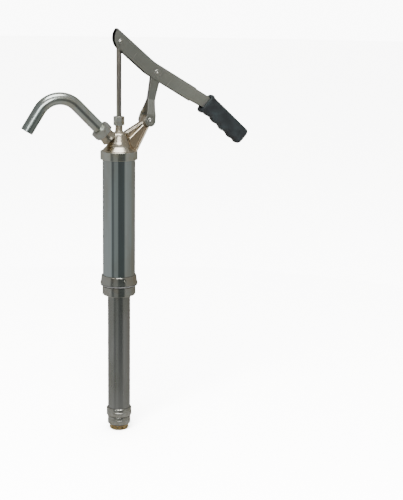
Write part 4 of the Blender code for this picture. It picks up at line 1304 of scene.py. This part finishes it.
def make_floor(colours):
    """A wide pale floor just below the pump."""
    ground = CAD_BOX[0][2] - 0.001
    deselect()
    bpy.ops.mesh.primitive_circle_add(
        vertices=96, radius=14.0, fill_type="NGON", location=(0.0, 0.0, ground)
    )
    floor = begin("floor")
    end(floor)
    finish = Finish("pale_floor", 0.0)
    mottle = finish.noise(3.0, 4.0)
    colour = finish.blend(mottle * 0.3, tuple(colours.floor), scaled(colours.floor, 0.96))
    floor.data.materials.append(finish.set(colour, 0.7 + 0.1 * mottle))
    floor.visible_glossy = False


def make_light():
    """An even white sky and one large soft light."""
    world = bpy.data.worlds.new("studio")
    bpy.context.scene.world = world
    world.use_nodes = True
    background = world.node_tree.nodes["Background"]
    background.inputs["Color"].default_value = (1.0, 1.0, 1.0, 1.0)
    background.inputs["Strength"].default_value = 10.0
    light = bpy.data.lights.new("soft_key", "AREA")
    light.energy = 900.0
    light.size = 1.6
    key = bpy.data.objects.new("soft_key", light)
    bpy.context.scene.collection.objects.link(key)
    key.location = (-1.2, -1.6, 2.4)
    key.visible_glossy = False
    key.rotation_euler = (Vector((0.0, 0.0, 0.2)) - key.location).to_track_quat("-Z", "Y").to_euler()


def make_camera():
    """The view from the spout's side, a little above the head."""
    camera = bpy.data.cameras.new("view")
    camera.lens = CAMERA_LENS
    camera.clip_end = 60.0
    viewer = bpy.data.objects.new("view", camera)
    bpy.context.scene.collection.objects.link(viewer)
    columns = (CAMERA_RIGHT, CAMERA_UP, CAMERA_BACK)
    rows = [[column[i] for column in columns] for i in range(3)]
    viewer.matrix_world = Matrix.Translation(CAMERA_PLACE) @ Matrix(rows).to_4x4()
    bpy.context.scene.camera = viewer


def make_stage(colours):
    """Floor, surround, windows, light and camera."""
    make_floor(colours)
    make_surround()
    card("front_window", (-0.3, -0.96, 0.71), (0.8, 0.3), 8.0)
    card("top_window", (-0.08, -0.22, 1.18), (0.75, 0.42), 8.0)
    card("left_strip", (-0.95, -0.55, 0.62), (0.1, 0.5), 4.0)
    make_light()
    make_camera()


# Operators


class PumpOperator:
    """What the pump's operators share: undo, and the scene's sizes and colours."""

    bl_options = {"REGISTER", "UNDO"}

    @property
    def sizes(self):
        return bpy.context.scene.pump_sizes

    @property
    def colours(self):
        return bpy.context.scene.pump_colours


class PUMP_OT_finishes(PumpOperator, bpy.types.Operator):
    """Make the pump's finishes"""

    bl_idname = "pump.finishes"
    bl_label = "Finishes"

    def execute(self, context):
        make_finishes(self.colours)
        return {"FINISHED"}


class PUMP_OT_cylinder(PumpOperator, bpy.types.Operator):
    """Build the chrome cylinder"""

    bl_idname = "pump.cylinder"
    bl_label = "Cylinder"

    def execute(self, context):
        make_cylinder(self.sizes)
        return {"FINISHED"}


class PUMP_OT_base(PumpOperator, bpy.types.Operator):
    """Build the threaded base, its screw and its gasket"""

    bl_idname = "pump.base"
    bl_label = "Base"

    def execute(self, context):
        make_base(self.sizes)
        return {"FINISHED"}


class PUMP_OT_head(PumpOperator, bpy.types.Operator):
    """Build the head casting with its boss and arm"""

    bl_idname = "pump.head"
    bl_label = "Head"

    def execute(self, context):
        make_head(self.sizes)
        return {"FINISHED"}


class PUMP_OT_nuts(PumpOperator, bpy.types.Operator):
    """Build the gland nut and the spout's union nut"""

    bl_idname = "pump.nuts"
    bl_label = "Nuts"

    def execute(self, context):
        make_nuts(self.sizes)
        return {"FINISHED"}


class PUMP_OT_spout(PumpOperator, bpy.types.Operator):
    """Build the gooseneck spout"""

    bl_idname = "pump.spout"
    bl_label = "Spout"

    def execute(self, context):
        make_spout(self.sizes)
        return {"FINISHED"}


class PUMP_OT_rod(PumpOperator, bpy.types.Operator):
    """Build the piston rod"""

    bl_idname = "pump.rod"
    bl_label = "Rod"

    def execute(self, context):
        make_rod(self.sizes)
        return {"FINISHED"}


class PUMP_OT_lever(PumpOperator, bpy.types.Operator):
    """Build the pressed lever"""

    bl_idname = "pump.lever"
    bl_label = "Lever"

    def execute(self, context):
        make_lever(self.sizes)
        return {"FINISHED"}


class PUMP_OT_grip(PumpOperator, bpy.types.Operator):
    """Build the dipped hand grip"""

    bl_idname = "pump.grip"
    bl_label = "Grip"

    def execute(self, context):
        make_grip(self.sizes)
        return {"FINISHED"}


class PUMP_OT_links(PumpOperator, bpy.types.Operator):
    """Build the two link plates and their sleeve"""

    bl_idname = "pump.links"
    bl_label = "Links"

    def execute(self, context):
        make_links()
        return {"FINISHED"}


class PUMP_OT_pins(PumpOperator, bpy.types.Operator):
    """Build the pivot pins, washers and clips"""

    bl_idname = "pump.pins"
    bl_label = "Pins"

    def execute(self, context):
        make_pins(self.sizes)
        return {"FINISHED"}


class PUMP_OT_suction(PumpOperator, bpy.types.Operator):
    """Build the telescopic suction tube and its strainer"""

    bl_idname = "pump.suction"
    bl_label = "Suction tube"

    def execute(self, context):
        make_suction()
        return {"FINISHED"}


class PUMP_OT_inner(PumpOperator, bpy.types.Operator):
    """Give the inner CAD nodes their finishes"""

    bl_idname = "pump.inner"
    bl_label = "Inner parts"

    def execute(self, context):
        finish_inner_nodes()
        return {"FINISHED"}


class PUMP_OT_stage(PumpOperator, bpy.types.Operator):
    """Set up the floor, the light and the camera"""

    bl_idname = "pump.stage"
    bl_label = "Studio"

    def execute(self, context):
        make_stage(self.colours)
        return {"FINISHED"}


OPERATORS = (
    PUMP_OT_finishes,
    PUMP_OT_cylinder,
    PUMP_OT_base,
    PUMP_OT_head,
    PUMP_OT_nuts,
    PUMP_OT_spout,
    PUMP_OT_rod,
    PUMP_OT_lever,
    PUMP_OT_grip,
    PUMP_OT_links,
    PUMP_OT_pins,
    PUMP_OT_suction,
    PUMP_OT_inner,
    PUMP_OT_stage,
)


class PUMP_PT_panel(bpy.types.Panel):
    """The pump's sizes, colours and pieces"""

    bl_idname = "PUMP_PT_panel"
    bl_label = "Drum pump"
    bl_space_type = "VIEW_3D"
    bl_region_type = "UI"
    bl_category = "Drum pump"

    def draw(self, context):
        scene = context.scene
        for title, settings in (("Sizes", scene.pump_sizes), ("Colours", scene.pump_colours)):
            box = self.layout.box()
            box.label(text=title)
            for name in settings.__annotations__:
                box.prop(settings, name)
        for operator in OPERATORS:
            self.layout.operator(operator.bl_idname)


CLASSES = (PumpSizes, PumpColours, *OPERATORS, PUMP_PT_panel)


def register():
    """Registers the classes and hangs their settings on the scene."""
    for cls in CLASSES:
        bpy.utils.register_class(cls)
    bpy.types.Scene.pump_sizes = bpy.props.PointerProperty(type=PumpSizes)
    bpy.types.Scene.pump_colours = bpy.props.PointerProperty(type=PumpColours)


def unregister():
    """Takes the settings and the classes away again."""
    del bpy.types.Scene.pump_sizes
    del bpy.types.Scene.pump_colours
    for cls in reversed(CLASSES):
        bpy.utils.unregister_class(cls)


def main():
    register()
    for operator in OPERATORS:
        group, name = operator.bl_idname.split(".")
        getattr(getattr(bpy.ops, group), name)()


if __name__ == "__main__":
    main()
